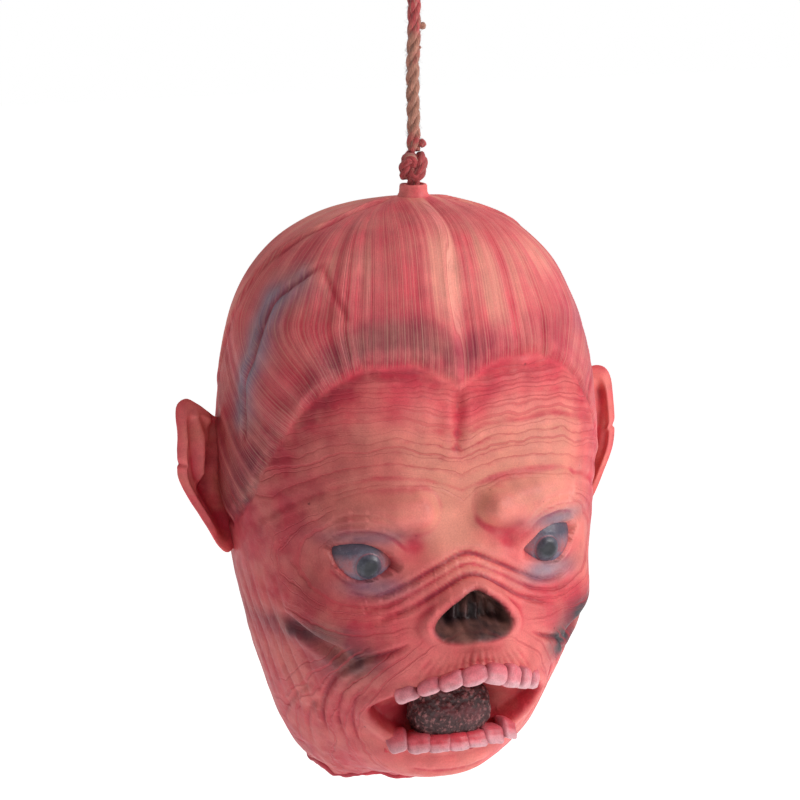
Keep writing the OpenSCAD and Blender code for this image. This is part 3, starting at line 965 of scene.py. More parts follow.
def latex_finish(
    name,
    second=(226, 150, 132),
    patches=0.22,
    speckle=0.3,
    rough=0.5,
    strands=False,
    pits=0.6,
    bump=1.0,
):
    mat, b, shader = blank(name)
    mottle = b.node("ShaderNodeGroup", node_tree=effect_tree("Mottled_Paint"))
    b.tree.links.new(b.attribute("paint", "Color"), mottle.inputs["Color"])
    mottle.inputs["Second Tone"].default_value = tone(second)
    mottle.inputs["Patches"].default_value = patches
    mottle.inputs["Speckle"].default_value = speckle
    mottle.inputs["Pits"].default_value = pits
    grain = b.node("ShaderNodeGroup", node_tree=effect_tree("Cast_Grain"))
    b.tree.links.new(mottle.outputs["Pit Mask"], grain.inputs["Pit Mask"])
    colour = mottle.outputs["Color"]
    height = grain.outputs["Height"]
    if strands:
        strand, grown = b.attribute("strand"), b.attribute("grown")
        combed = b.math("MULTIPLY", b.along(strand, 3.1, 3), grown)
        height = b.math("ADD", height, b.math("MULTIPLY", combed, 2.6))
        pale_lines = b.remap(b.along(strand, 1.25, 3), 0.45, 0.7)
        streak = b.math("MULTIPLY", pale_lines, b.math("MULTIPLY", grown, 0.2))
        colour = b.blend(streak, colour, tone((238, 190, 166)))
        dark_lines = b.remap(b.along(strand, 2.3, 2), 0.42, 0.28)
        dark = b.math("MULTIPLY", dark_lines, b.math("MULTIPLY", grown, 0.4))
        colour = b.blend(dark, colour, tone((164, 44, 62)))
        line, creased = b.attribute("crease_line"), b.attribute("creased")
        warped = b.math("ADD", line, b.remap(b.grain(b.place(), 60, 3), 0.3, 0.7, -1.2, 1.2))
        fine = b.along(warped, 0.55, 3)
        cut = b.math("MULTIPLY", b.remap(fine, 0.46, 0.34), creased)
        height = b.math("SUBTRACT", height, b.math("MULTIPLY", cut, 1.5))
        colour = b.blend(b.math("MULTIPLY", cut, 0.45), colour, tone((176, 50, 62)))
    b.tree.links.new(colour, shader.inputs["Base Color"])
    roughness = b.remap(grain.outputs["Sheen Mask"], 0, 1, rough - 0.07, rough + 0.1)
    b.tree.links.new(roughness, shader.inputs["Roughness"])
    bumped = b.node("ShaderNodeBump", {"Strength": 0.5 * bump, "Distance": 0.0006, "Height": height})
    b.tree.links.new(bumped.outputs[0], shader.inputs["Normal"])
    shader.inputs["Specular IOR Level"].default_value = 0.28
    return mat


def jute_finish(name, contrast=1.0):
    mat, b, shader = blank(name)
    fibre = b.node("ShaderNodeGroup", node_tree=effect_tree("Spun_Fibre"))
    b.tree.links.new(b.attribute("paint", "Color"), fibre.inputs["Colour"])
    fibre.inputs["Contrast"].default_value = contrast
    b.tree.links.new(fibre.outputs["Colour"], shader.inputs["Base Color"])
    bumped = b.node(
        "ShaderNodeBump", {"Strength": 0.9, "Distance": 0.0005, "Height": fibre.outputs["Height"]},
    )
    b.tree.links.new(bumped.outputs[0], shader.inputs["Normal"])
    shader.inputs["Roughness"].default_value = 0.88
    shader.inputs["Specular IOR Level"].default_value = 0.2
    shader.inputs["Sheen Weight"].default_value = 0.25
    shader.inputs["Sheen Roughness"].default_value = 0.5
    return mat


def painted(b, mask, under, rgb, strength=1.0):
    return b.blend(b.math("MULTIPLY", mask, strength, clamp=True), under, tone(rgb))


def eye_finish():
    """Airbrushed eye: dark slate pupil, blue-grey haze, sore pink corners and thin veins, with painted shade
    along its top under the upper lid.
    """
    mat, b, shader = blank("eye_paint")
    at = b.place()
    ring, height = b.attribute("gaze"), b.attribute("lid")
    soft = b.math("ADD", ring, b.remap(b.grain(at, 260, 4), 0.3, 0.7, -1.1, 1.1))
    colour = b.blend(b.remap(b.grain(at, 130, 4), 0.4, 0.62), tone((158, 84, 88)), tone((128, 92, 104)))
    colour = painted(b, b.remap(b.grain(at, 210, 3), 0.56, 0.66), colour, (176, 48, 58), 0.7)
    # painted shade: the top of the eye darkened under the upper lid; a bluish band along its bottom
    colour = painted(b, b.remap(height, 2.0, 5.5), colour, (66, 68, 84), 0.9)
    colour = painted(b, b.remap(height, -2.5, -6.0), colour, (92, 92, 116), 0.75)
    colour = painted(b, b.remap(soft, 9.0, 5.2), colour, (80, 84, 98), 0.92)
    colour = painted(b, b.remap(b.grain(at, 700, 3), 0.55, 0.7), colour, (128, 124, 140), 0.25)
    colour = painted(b, b.remap(soft, 6.2, 2.6), colour, (22, 24, 32), 0.98)
    line = b.remap(b.math("ABSOLUTE", b.math("SUBTRACT", ring, 6.3)), 0.45, 0.1)
    colour = painted(b, line, colour, (150, 84, 96), 0.6)
    fine = b.remap(b.grain(at, 1500, 2), 0.3, 0.7, 0.86, 1.12)
    grey = b.node("ShaderNodeCombineColor", {0: fine, 1: fine, 2: fine}).outputs[0]
    b.tree.links.new(b.blend(1.0, colour, grey, "MULTIPLY"), shader.inputs["Base Color"])
    rough = b.remap(b.grain(at, 300, 3), 0.3, 0.7, 0.34, 0.5)
    b.tree.links.new(rough, shader.inputs["Roughness"])
    veins = b.math("ADD", b.grain(at, 900, 3), b.math("MULTIPLY", b.grain(at, 240, 3), 1.5))
    bumped = b.node("ShaderNodeBump", {"Strength": 0.3, "Distance": 0.0004, "Height": veins})
    b.tree.links.new(bumped.outputs[0], shader.inputs["Normal"])
    return mat


def tongue_finish():
    """Dark sponged purple over grey-pink, worn through on the bumps."""
    mat, b, shader = blank("tongue_paint")
    at = b.place()
    bumps = b.node("ShaderNodeTexVoronoi", {"Vector": at, "Scale": 520.0}).outputs["Distance"]
    sponge = b.grain(at, 420, 5, 0.7)
    worn = b.remap(b.math("SUBTRACT", sponge, b.math("MULTIPLY", bumps, 0.22)), 0.40, 0.52)
    colour = b.blend(b.math("MULTIPLY", worn, 0.72), tone((62, 34, 36)), tone((158, 104, 104)))
    colour = painted(b, b.remap(b.grain(at, 90, 3), 0.52, 0.66), colour, (118, 44, 52), 0.55)
    b.tree.links.new(colour, shader.inputs["Base Color"])
    b.tree.links.new(b.remap(sponge, 0.3, 0.7, 0.42, 0.7), shader.inputs["Roughness"])
    height = b.math("SUBTRACT", sponge, b.math("MULTIPLY", bumps, 0.8))
    bumped = b.node("ShaderNodeBump", {"Strength": 0.9, "Distance": 0.0009, "Height": height})
    b.tree.links.new(bumped.outputs[0], shader.inputs["Normal"])
    return mat


def floor_finish():
    mat, b, shader = blank("studio_white")
    at = b.place()
    b.tree.links.new(b.remap(b.grain(at, 3, 3), 0.3, 0.7, 0.6, 0.75), shader.inputs["Roughness"])
    shader.inputs["Base Color"].default_value = (0.9, 0.9, 0.9, 1)
    shader.inputs["Emission Color"].default_value = (1, 1, 1, 1)
    shader.inputs["Emission Strength"].default_value = 0.75
    return mat


# ---------------------------------------------------------------- finishing a piece


def finished(obj, material, body, slot, *nodes):
    obj.data.materials.clear()
    obj.data.materials.append(material)
    choose(obj)
    bpy.ops.object.transform_apply(location=True, rotation=True, scale=True)
    bpy.ops.object.shade_smooth()
    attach(obj, body)
    if nodes:
        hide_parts(*nodes)
    return obj


def active_named(name):
    obj = bpy.context.active_object
    obj.name = name
    obj.data.name = name
    return obj


def joined(objects, name):
    deselect()
    for obj in objects:
        obj.select_set(True)
    bpy.context.view_layer.objects.active = objects[0]
    bpy.ops.object.join()
    return active_named(name)


def split_off(obj, mask, name):
    """Moves the masked faces to a new object, keeping the shading across the cut."""
    obj.data.normals_split_custom_set_from_vertices(normals_of(obj.data))
    choose(obj)
    bpy.ops.object.mode_set(mode="EDIT")
    bpy.ops.mesh.select_mode(type="FACE")
    bpy.ops.mesh.select_all(action="DESELECT")
    bpy.ops.object.mode_set(mode="OBJECT")
    obj.data.polygons.foreach_set("select", mask)
    bpy.ops.object.mode_set(mode="EDIT")
    bpy.ops.mesh.separate(type="SELECTED")
    bpy.ops.object.mode_set(mode="OBJECT")
    part = [o for o in bpy.context.selected_objects if o != obj][0]
    part.name = name
    part.data.name = name
    return part


def face_centres(mesh):
    out = np.empty(len(mesh.polygons) * 3)
    mesh.polygons.foreach_get("center", out)
    return out.reshape(-1, 3) / MM - CROWN


def boundary_loop(mesh):
    """The lowest open edge of a mesh, its points in order."""
    bm = bmesh.new()
    bm.from_mesh(mesh)
    bm.edges.ensure_lookup_table()
    unused = {e.index: e for e in bm.edges if len(e.link_faces) == 1}
    loops = []
    while unused:
        edge = unused.pop(min(unused))
        loop = [edge.verts[0], edge.verts[1]]
        while loop[-1] != loop[0]:
            nxt = sorted(e.index for e in loop[-1].link_edges if e.index in unused)
            if not nxt:
                break
            loop.append(unused.pop(nxt[0]).other_vert(loop[-1]))
        loops.append(np.array([tuple(v.co) for v in loop[:-1]]))
    bm.free()
    return min((loop for loop in loops if len(loop) > 40), key=lambda loop: loop[:, 2].mean())


# ---------------------------------------------------------------- the latex skin


def drop_neck(clay):
    """Lets the torn edge of the neck hang a little lower at the back, and makes it ragged."""
    q = clay.base
    low = smooth_step(-236, -266, q[:, 2] - 0.12 * q[:, 1]) * smooth_step(-30, 0, q[:, 1])
    clay.push(low * (6.5 + 2.2 * noise(q, 9, 15) + 1.2 * noise(q, 4, 16)), (0, 0, -1))


def sculpt_head(clay, settings):
    shape_brows(clay)
    shape_eyes(clay)
    shape_nose(clay)
    mouth_idx, mouth_s = shape_mouth(clay)
    clay.settle()
    rough = clay.p.copy()
    shape_folds(clay)
    creases = shape_wrinkles(clay, settings.wrinkle_depth)
    hair, phase, behind = shape_hair(clay, settings.strand_depth)
    spread = neighbour_mean(clay.mesh, len(clay.p))
    shift = clay.p - rough
    for _ in range(2):
        shift = 0.4 * shift + 0.6 * np.stack([spread(shift[:, k]) for k in range(3)], axis=1)
    clay.p = rough + 1.15 * shift
    drop_neck(clay)
    clay.settle()
    return mouth_idx, mouth_s, hair, phase, behind, creases


def build_skin():
    settings = bpy.context.scene.latex_head
    outer = copy_of_node("latex_skin", "face_skin")
    inner = copy_of_node("latex_skin", "inner_skin")
    wall = grown_faces(outer.data, Vector((1, 0, 0)), 62)
    keep_faces(inner, set(range(len(inner.data.polygons))) - wall)
    keep_faces(outer, wall)
    subdivided(outer, 3)
    subdivided(inner, 1)

    clay = Clay(outer.data)
    mouth_idx, mouth_s, hair, phase, behind, creases = sculpt_head(clay, settings)
    hollow = concavity(outer.data, clay.p, clay.n)
    rgb = paint_head(clay, hair, phase, behind, mouth_idx, mouth_s, hollow, settings.skin_colour)
    paint_layer(outer.data, "paint", rgb)
    value_layer(outer.data, "strand", phase)
    value_layer(outer.data, "crease_line", creases[0])
    value_layer(outer.data, "creased", creases[1])
    grown = smooth_step(-0.5, 2.5, hair) * smooth_step(6, 14, np.hypot(clay.base[:, 0], clay.base[:, 1]))
    value_layer(outer.data, "grown", grown)

    # the inside of the wall follows the outside
    moved = clay.p - clay.base
    tree = KDTree(len(clay.base))
    for k, q in enumerate(clay.base):
        tree.insert(q, k)
    tree.balance()
    p = points_of(inner.data) / MM - CROWN
    n = normals_of(inner.data)
    shift = np.array([moved[tree.find(q)[1]] for q in p])
    shift[:, 1] = np.minimum(shift[:, 1], 4)
    flat, at_front = p[:, [0, 2]], (p[:, 1] < -18).astype(float)
    nose = inside_outline(flat, closed_curve(mirrored(NOSE_OUTLINE)))
    mouth = inside_outline(flat, closed_curve(mirrored(MOUTH_OUTLINE)))
    back = np.maximum(17 * smooth_step(11, 5, nose), 12 * smooth_step(10, 4, mouth)) * at_front
    p = p + shift + n * 0.6
    p[:, 1] += back
    set_points(inner.data, (p + CROWN) * MM)
    tint = 1 + 0.1 * noise(p, 14, 91) + 0.05 * noise(p, 4, 92)
    paint_layer(inner.data, "paint", np.tile(linear((206, 150, 130)), (len(p), 1)) * tint[:, None])

    # the torn, painted edge of the neck
    rim = boundary_loop(outer.data)
    edge = tube_object("neck_rim", rim, 1.9 * MM, 10, closed=True)
    q = points_of(edge.data) / MM - CROWN
    n = normals_of(edge.data)
    q = q + n * (0.9 * noise(q, 7, 81) + 0.5 * noise(q, 2.6, 82))[:, None]
    set_points(edge.data, (q + CROWN) * MM)
    shade = 0.5 + 0.5 * noise(q, 6, 83)
    rgb = linear((196, 52, 66)) * (1 - shade[:, None]) + linear((150, 40, 54)) * shade[:, None]
    paint_layer(edge.data, "paint", rgb)

    centre = face_centres(outer.data)
    seam_y = np.interp(-centre[:, 2], [0, 9, 27, 46, 68, 95, 130, 240], [3, 0, 12, 18, 27, 31, 30, 26])
    scalp = split_off(outer, centre[:, 1] > seam_y, "scalp_skin")
    skin = latex_finish("painted_latex", strands=True)
    finished(outer, skin, "head", "latex", "latex_skin")
    finished(scalp, skin, "head", "latex")
    lining = latex_finish("bare_latex", second=(224, 180, 160), patches=0.5, rough=0.62, pits=0.2)
    finished(inner, lining, "head", "latex")
    finished(
        edge,
        latex_finish("neck_edge_latex", second=(160, 60, 70), patches=0.6, bump=1.6),
        "head",
        "latex",
    )


# ---------------------------------------------------------------- tubes and rope


def rings_along(path, closed):
    """A frame that turns as little as it can at each point of a path: points, normals, sides and run."""
    p = np.array(path, dtype=float)
    nxt, prv = np.roll(p, -1, axis=0), np.roll(p, 1, axis=0)
    t = nxt - prv
    if not closed:
        t[0], t[-1] = p[1] - p[0], p[-1] - p[-2]
    t /= np.linalg.norm(t, axis=1)[:, None]
    n = np.cross(t[0], [0.3, 0.2, 1.0] if abs(t[0][2]) < 0.9 else [1, 0.1, 0])
    n /= np.linalg.norm(n)
    ns = [n]
    for k in range(1, len(p)):
        n = n - t[k] * (n @ t[k])
        n /= np.linalg.norm(n)
        ns.append(n)
    ns = np.array(ns)
    if closed:
        last = ns[-1] - t[0] * (ns[-1] @ t[0])
        last /= np.linalg.norm(last)
        gap = math.atan2(np.cross(ns[0], last) @ t[0], ns[0] @ last)
        turn = -gap * np.arange(len(p)) / len(p)
        side = np.cross(t, ns)
        ns = ns * np.cos(turn)[:, None] + side * np.sin(turn)[:, None]
    side = np.cross(t, ns)
    run = np.concatenate([[0], np.cumsum(np.linalg.norm(np.diff(p, axis=0), axis=1))])
    return p, ns, side, run


def grid_mesh(name, rows, closed, caps):
    """A mesh from rows of points that each go round once."""
    count, sides = rows.shape[:2]
    faces = []
    for i in range(count if closed else count - 1):
        j = (i + 1) % count
        for s in range(sides):
            r = (s + 1) % sides
            faces.append((i * sides + s, i * sides + r, j * sides + r, j * sides + s))
    if caps:
        faces.append(tuple(range(sides))[::-1])
        faces.append(tuple((count - 1) * sides + s for s in range(sides)))
    mesh = bpy.data.meshes.new(name)
    mesh.from_pydata([tuple(v) for v in rows.reshape(-1, 3)], [], faces)
    obj = bpy.data.objects.new(name, mesh)
    bpy.context.scene.collection.objects.link(obj)
    return obj


def tube_rows(path, radius, sides, closed):
    p, n, b, _ = rings_along(path, closed)
    a = np.linspace(0, 2 * math.pi, sides, endpoint=False)
    r = np.broadcast_to(np.asarray(radius, dtype=float), (len(p),))[:, None, None]
    return p[:, None] + r * (np.cos(a)[None, :, None] * n[:, None] + np.sin(a)[None, :, None] * b[:, None])


def tube_object(name, path, radius, sides, closed=False):
    return grid_mesh(name, tube_rows(path, radius, sides, closed), closed, not closed)


def evened(path, step, closed=False):
    """The path again with points step apart."""
    p = np.array(path, dtype=float)
    if closed:
        p = np.vstack([p, p[:1]])
    run = np.concatenate([[0], np.cumsum(np.linalg.norm(np.diff(p, axis=0), axis=1))])
    count = max(4, int(round(run[-1] / step)))
    at = np.linspace(0, run[-1], count + (0 if closed else 1), endpoint=not closed)
    return np.stack([np.interp(at, run, p[:, k]) for k in range(3)], axis=1)


def jute_colour(p, seed, stain):
    """Tan jute that took up red paint in patches."""
    red = smooth_step(-0.35, 0.45, noise(p, 9, seed) + 0.5 * noise(p, 3, seed + 1) + stain)
    rgb = linear((176, 122, 104)) * (1 - red[:, None]) + linear((176, 74, 76)) * red[:, None]
    return rgb * (1 + 0.12 * noise(p, 2, seed + 2))[:, None]


def laid_rope(name, path, diameter, lay, closed=False, stain=0.0, seed=0, sides=14, step=0.75, loose=0.1):
    """Three jute strands laid up round a path in millimetres, as one mesh with its yarn directions."""
    path = evened(path, step, closed)
    p, n, b, run = rings_along(path, closed)
    total = run[-1] + (np.linalg.norm(p[0] - p[-1]) if closed else 0)
    turns = total / lay
    if closed:
        turns = round(turns * 3) / 3 if total < 60 else round(turns)
        turns = max(1, round(turns))
    strand_r = diameter * 0.262
    offset = diameter / 2 - strand_r
    parts = []
    for k in range(3):
        angle = 2 * math.pi * (turns * run / total + k / 3)
        wander = loose * wave_noise(run / 5.5 + 11 * k, seed + k)
        outward = np.cos(angle)[:, None] * n + np.sin(angle)[:, None] * b
        centre = p + (offset * (1 + wander))[:, None] * outward
        fat = strand_r * (1 + loose * wave_noise(run / 3.5 + 7 * k, seed + 9 + k))
        rows = tube_rows(centre, fat, sides, closed)
        obj = grid_mesh(f"{name}_{k}", rows * MM, closed, not closed)
        q = rows.reshape(-1, 3)
        around = np.tile(np.linspace(0, 2 * math.pi, sides, endpoint=False), len(p))
        length = np.repeat(run, sides)
        twist = around + length * 2 * math.pi / (lay * 0.8)
        yarn = np.stack([np.cos(twist) * 1.2, length, np.sin(twist) * 1.2 + 7 * k], axis=1)
        layer = obj.data.attributes.new(name="yarn", type="FLOAT_VECTOR", domain="POINT")
        layer.data.foreach_set("vector", yarn.ravel())
        paint_layer(obj.data, "paint", jute_colour(q, seed, stain))
        parts.append(obj)
    rope = joined(parts, name)
    q = points_of(rope.data) / MM
    rough = 0.12 * noise(q, 1.6, seed + 20) + 0.08 * noise(q, 0.8, seed + 21)
    q = q + normals_of(rope.data) * rough[:, None]
    set_points(rope.data, q * MM)
    return rope


def fuzz(name, path, radius, count, seed, closed=False, stain=0.0, reach=(0.9, 2.2)):
    """Loose fibre ends that stand out of a rope: thin curved slivers with a few faces each."""
    rng = np.random.default_rng(seed)
    p, n, b, _ = rings_along(evened(path, 0.5, closed), closed)
    verts, faces = [], []
    for _ in range(count):
        k = rng.integers(0, len(p) - 1)
        a = rng.uniform(0, 2 * math.pi)
        out = math.cos(a) * n[k] + math.sin(a) * b[k]
        t = np.cross(n[k], b[k]) * rng.choice([-1, 1]) + 0.9 * (-math.sin(a) * n[k] + math.cos(a) * b[k])
        t /= np.linalg.norm(t)
        long = rng.uniform(*reach)
        start = p[k] + out * (radius - 0.35)
        curl = rng.uniform(0.3, 1.0)
        spine = [start + t * long * s + out * long * curl * s * s * 0.8 for s in (0, 0.35, 0.7, 1.0)]
        base = len(verts)
        for j, q in enumerate(spine):
            w = 0.075 * (1 - 0.75 * j / 3)
            verts.append(tuple(q + w * out))
            verts.append(tuple(q + w * (0.8 * t - 0.5 * out)))
            verts.append(tuple(q - w * (0.8 * t + 0.5 * out)))
        for j in range(3):
            for s in range(3):
                r = (s + 1) % 3
                faces.append((base + 3 * j + s, base + 3 * j + r, base + 3 * j + 3 + r, base + 3 * j + 3 + s))
        faces += [(base + 2, base + 1, base), (base + 9, base + 10, base + 11)]
    mesh = bpy.data.meshes.new(name)
    mesh.from_pydata([tuple(np.array(v) * MM) for v in verts], [], faces)
    obj = bpy.data.objects.new(name, mesh)
    bpy.context.scene.collection.objects.link(obj)
    choose(obj)
    bpy.ops.object.mode_set(mode="EDIT")
    bpy.ops.mesh.select_all(action="SELECT")
    bpy.ops.mesh.normals_make_consistent(inside=False)
    bpy.ops.object.mode_set(mode="OBJECT")
    q = np.array(verts)
    layer = mesh.attributes.new(name="yarn", type="FLOAT_VECTOR", domain="POINT")
    layer.data.foreach_set("vector", q.ravel())
    paint_layer(mesh, "paint", jute_colour(q, seed, stain) * 1.15)
    return obj


# ---------------------------------------------------------------- eyes


def build_eyes():
    eye_r = EYE_RADIUS
    finish = eye_finish()
    for side, name in [(-1, "eye_right"), (1, "eye_left")]:
        centre = np.array([side * EYE_CENTRE[0], EYE_CENTRE[1], EYE_CENTRE[2]])
        deselect()
        bpy.ops.mesh.primitive_uv_sphere_add(
            segments=128,
            ring_count=80,
            radius=eye_r * MM,
            rotation=(math.pi / 2, 0, 0),
        )
        ball = active_named(name.replace("eye", "eyeball"))
        bpy.ops.object.transform_apply(location=True, rotation=True, scale=True)
        gaze = np.array([side * 0.10, -1.0, -0.10])
        gaze /= np.linalg.norm(gaze)
        q = points_of(ball.data) / MM
        d = q / np.linalg.norm(q, axis=1)[:, None]
        ring = np.degrees(np.arccos(np.clip(d @ gaze, -1, 1))) * math.pi / 180 * eye_r
        bulge = 1.5 * smooth_step(7.2, 3.0, ring) - 0.45 * np.exp(-(((ring - 6.6) / 0.45) ** 2))
        bulge = bulge - 0.5 * np.exp(-((ring / 2.2) ** 2))
        q = d * (eye_r - 0.3 + bulge)[:, None] + centre
        set_points(ball.data, (q + CROWN) * MM)
        value_layer(ball.data, "gaze", ring)
        # lid: height on the eye, which the eye paint turns into painted shade under the upper lid
        value_layer(ball.data, "lid", q[:, 2] - EYE_CENTRE[2] + 0.12 * side * (q[:, 0] - centre[0]))
        centres = face_centres(ball.data)
        flat = np.stack([side * centres[:, 0], centres[:, 2]], axis=1)
        shown = (centres[:, 1] < EYE_CENTRE[1]) & (inside_outline(flat, closed_curve(EYE_OUTLINE)) < 3.2)
        keep_faces(ball, np.where(shown)[0])
        choose(ball)
        wall = ball.modifiers.new("Wall", "SOLIDIFY")
        wall.thickness = 1.2 * MM
        wall.offset = -1
        bpy.ops.object.modifier_apply(modifier=wall.name)
        finished(ball, finish, "head", "eye_paint", name)


# ---------------------------------------------------------------- ears

# Outline of an ear, outward from the head and upward, in millimetres from the middle of its root plate
EAR_OUTLINE = [
    (-15, 12), (-12, 24), (-5, 27.5), (2, 30), (9, 33.5), (15, 35.5), (20, 33.5), (22, 28),
    (21.5, 18), (20.3, 9), (18.6, 5.6), (19.2, 3.4), (16.5, -5), (10.5, -15), (4.5, -24),
    (-2, -31), (-9, -33), (-15, -26), (-17, -8),
]
EAR_GROOVE = [(-1, 26), (-1.5, 18), (-0.5, 10), (1.5, 2), (4, -3)]
EAR_FOLD = [(13, 28), (9.5, 20), (8, 12), (6.5, 4), (4.5, -3)]
EAR_OUTER_FOLD = [(16, 24), (14.5, 15), (12, 7), (9, 0)]
EAR_BOWL = [(3, -6), (-1, -13), (-5, -22)]


def line_distance(p2, line):
    best = np.full(len(p2), 1e9)
    line = np.array(line, dtype=float)
    for a, b in zip(line[:-1], line[1:]):
        ab = b - a
        t = np.clip((p2 - a) @ ab / (ab @ ab), 0, 1)
        best = np.minimum(best, np.linalg.norm(p2 - a - t[:, None] * ab, axis=1))
    return best


def build_ears():
    low, high = corners("ear_right")
    middle = (low + high) / 2 - CROWN
    turn, lean = math.radians(30), math.radians(12)
    out = -np.array([math.cos(turn) * math.cos(lean), math.sin(turn) * math.cos(lean), -math.sin(lean)])
    front = np.array([math.sin(turn), -math.cos(turn), 0.0])
    up = np.array([math.cos(turn) * math.sin(lean), math.sin(turn) * math.sin(lean), math.cos(lean)])
    outline = closed_curve(EAR_OUTLINE, 10)
    heart = np.array([2.0, 2.0])
    rim = outline - heart
    rim_angle = np.arctan2(rim[:, 1], rim[:, 0])
    order = np.argsort(rim_angle)
    finish = latex_finish("ear_latex", second=(226, 130, 112), patches=0.5, rough=0.5)
    for side, name in [(-1, "ear_right"), (1, "ear_left")]:
        deselect()
        bpy.ops.mesh.primitive_uv_sphere_add(segments=160, ring_count=120, radius=1.0)
        ear = active_named(name.replace("ear", "latex_ear"))
        q = points_of(ear.data)
        angle = np.arctan2(q[:, 1], q[:, 0])
        flat_r = np.hypot(q[:, 0], q[:, 1])
        reach = np.interp(angle, rim_angle[order], np.linalg.norm(rim, axis=1)[order], period=2 * math.pi)
        rho = np.clip(flat_r, 0, 1)
        rho = np.where(rho < 0.999, 1 - (1 - rho) ** 0.62, rho) * 0.55 + rho * 0.45
        u = heart[0] + np.cos(angle) * reach * rho
        v = heart[1] + np.sin(angle) * reach * rho
        flat = np.stack([u, v], axis=1)
        face = smooth_step(-0.15, 0.25, q[:, 2])
        w = np.where(q[:, 2] > 0, 2.6, 4.0) * np.sign(q[:, 2]) * np.sqrt(np.clip(1 - rho**2.6, 0, 1))
        bend = 13 * smooth_step(4, -32, v) - 4.0 * smooth_step(16, 34, v) * smooth_step(0, 18, u)
        outer = smooth_step(-6, 4, u) * smooth_step(-30, -12, v)
        groove = np.exp(-((line_distance(flat, EAR_GROOVE) / 3.0) ** 2))
        fold_one = np.exp(-((line_distance(flat, EAR_FOLD) / 2.3) ** 2))
        fold_two = np.exp(-((line_distance(flat, EAR_OUTER_FOLD) / 1.7) ** 2))
        bowl = np.exp(-((line_distance(flat, EAR_BOWL) / 4.6) ** 2))
        lip = np.exp(-(((rho - 0.86) / 0.08) ** 2)) * outer
        p3 = np.stack([u * side, v, w], axis=1)
        rough = 0.35 * noise(p3, 6, 101) + 0.18 * noise(p3, 2.4, 102)
        form = 1.9 * lip + 2.6 * fold_one - 1.1 * fold_two - 4.2 * groove - 3.4 * bowl
        w = w + bend + rough + face * form
        p = middle + u[:, None] * out + v[:, None] * up + w[:, None] * front
        brush = Airbrush(len(p), "rose")
        n1 = noise(p3, 10, 103)
        brush.spray("skin", 0.6 + 0.3 * n1)
        brush.spray("crimson", (1 - face) * 0.5)
        brush.spray("pale", face * 0.5 * fold_one + face * 0.3 * lip)
        brush.spray("crimson", face * np.clip(1.1 * bowl + 0.3 * (v < -8), 0, 1) * 0.9)
        brush.spray("gum", face * np.clip(1.15 * groove, 0, 1) * 0.9)
        brush.spray("deep_red", face * smooth_step(0.55, 1.0, groove) * smooth_step(14, 2, v) * 0.8)
        brush.spray("crimson", face * 0.6 * fold_two)
        brush.spray("crimson", 0.5 * smooth_step(-4, -14, u))
        brush.shade(1 + 0.07 * noise(p3, 3, 104))
        if side > 0:
            p = p * np.array([-1, 1, 1])
        set_points(ear.data, (p + CROWN) * MM)
        paint_layer(ear.data, "paint", brush.dry())
        choose(ear)
        bpy.ops.object.mode_set(mode="EDIT")
        bpy.ops.mesh.select_all(action="SELECT")
        bpy.ops.mesh.normals_make_consistent(inside=False)
        bpy.ops.object.mode_set(mode="OBJECT")
        finished(ear, finish, "head", "latex", name)


# ---------------------------------------------------------------- mouth

# Each tooth: place along the row from -1 (right) to 1 (left), width, height, drop, lean in degrees
UPPER_TEETH = [
    (-0.93, 12.6, 8.0, -0.4, 2), (-0.68, 13.0, 7.4, -0.2, 8), (-0.42, 14.2, 7.6, 0.0, 12),
    (-0.13, 14.8, 8.6, 0.5, 12),
    (0.18, 14.2, 9.8, 0.2, -8), (0.47, 12.6, 10.8, -0.6, -6), (0.72, 10.8, 10.6, -0.4, -4),
    (0.94, 9.4, 9.4, 0.3, -2),
]
LOWER_TEETH = [
    (-0.95, 10.6, 9.6, 0.8, 18), (-0.64, 13.2, 8.0, -0.2, 6), (-0.32, 13.6, 7.6, -0.4, 2),
    (0.0, 13.6, 7.4, -0.4, -1),
    (0.31, 13.2, 7.4, -0.3, -4), (0.63, 12.8, 8.0, 0.0, -9), (0.94, 10.4, 9.2, 0.8, -18),
]


def arc_point(end, middle, t):
    y, z = (middle[k] + (end[k] - middle[k]) * t * t for k in (1, 2))
    return np.array([end[0] * t, y, z])


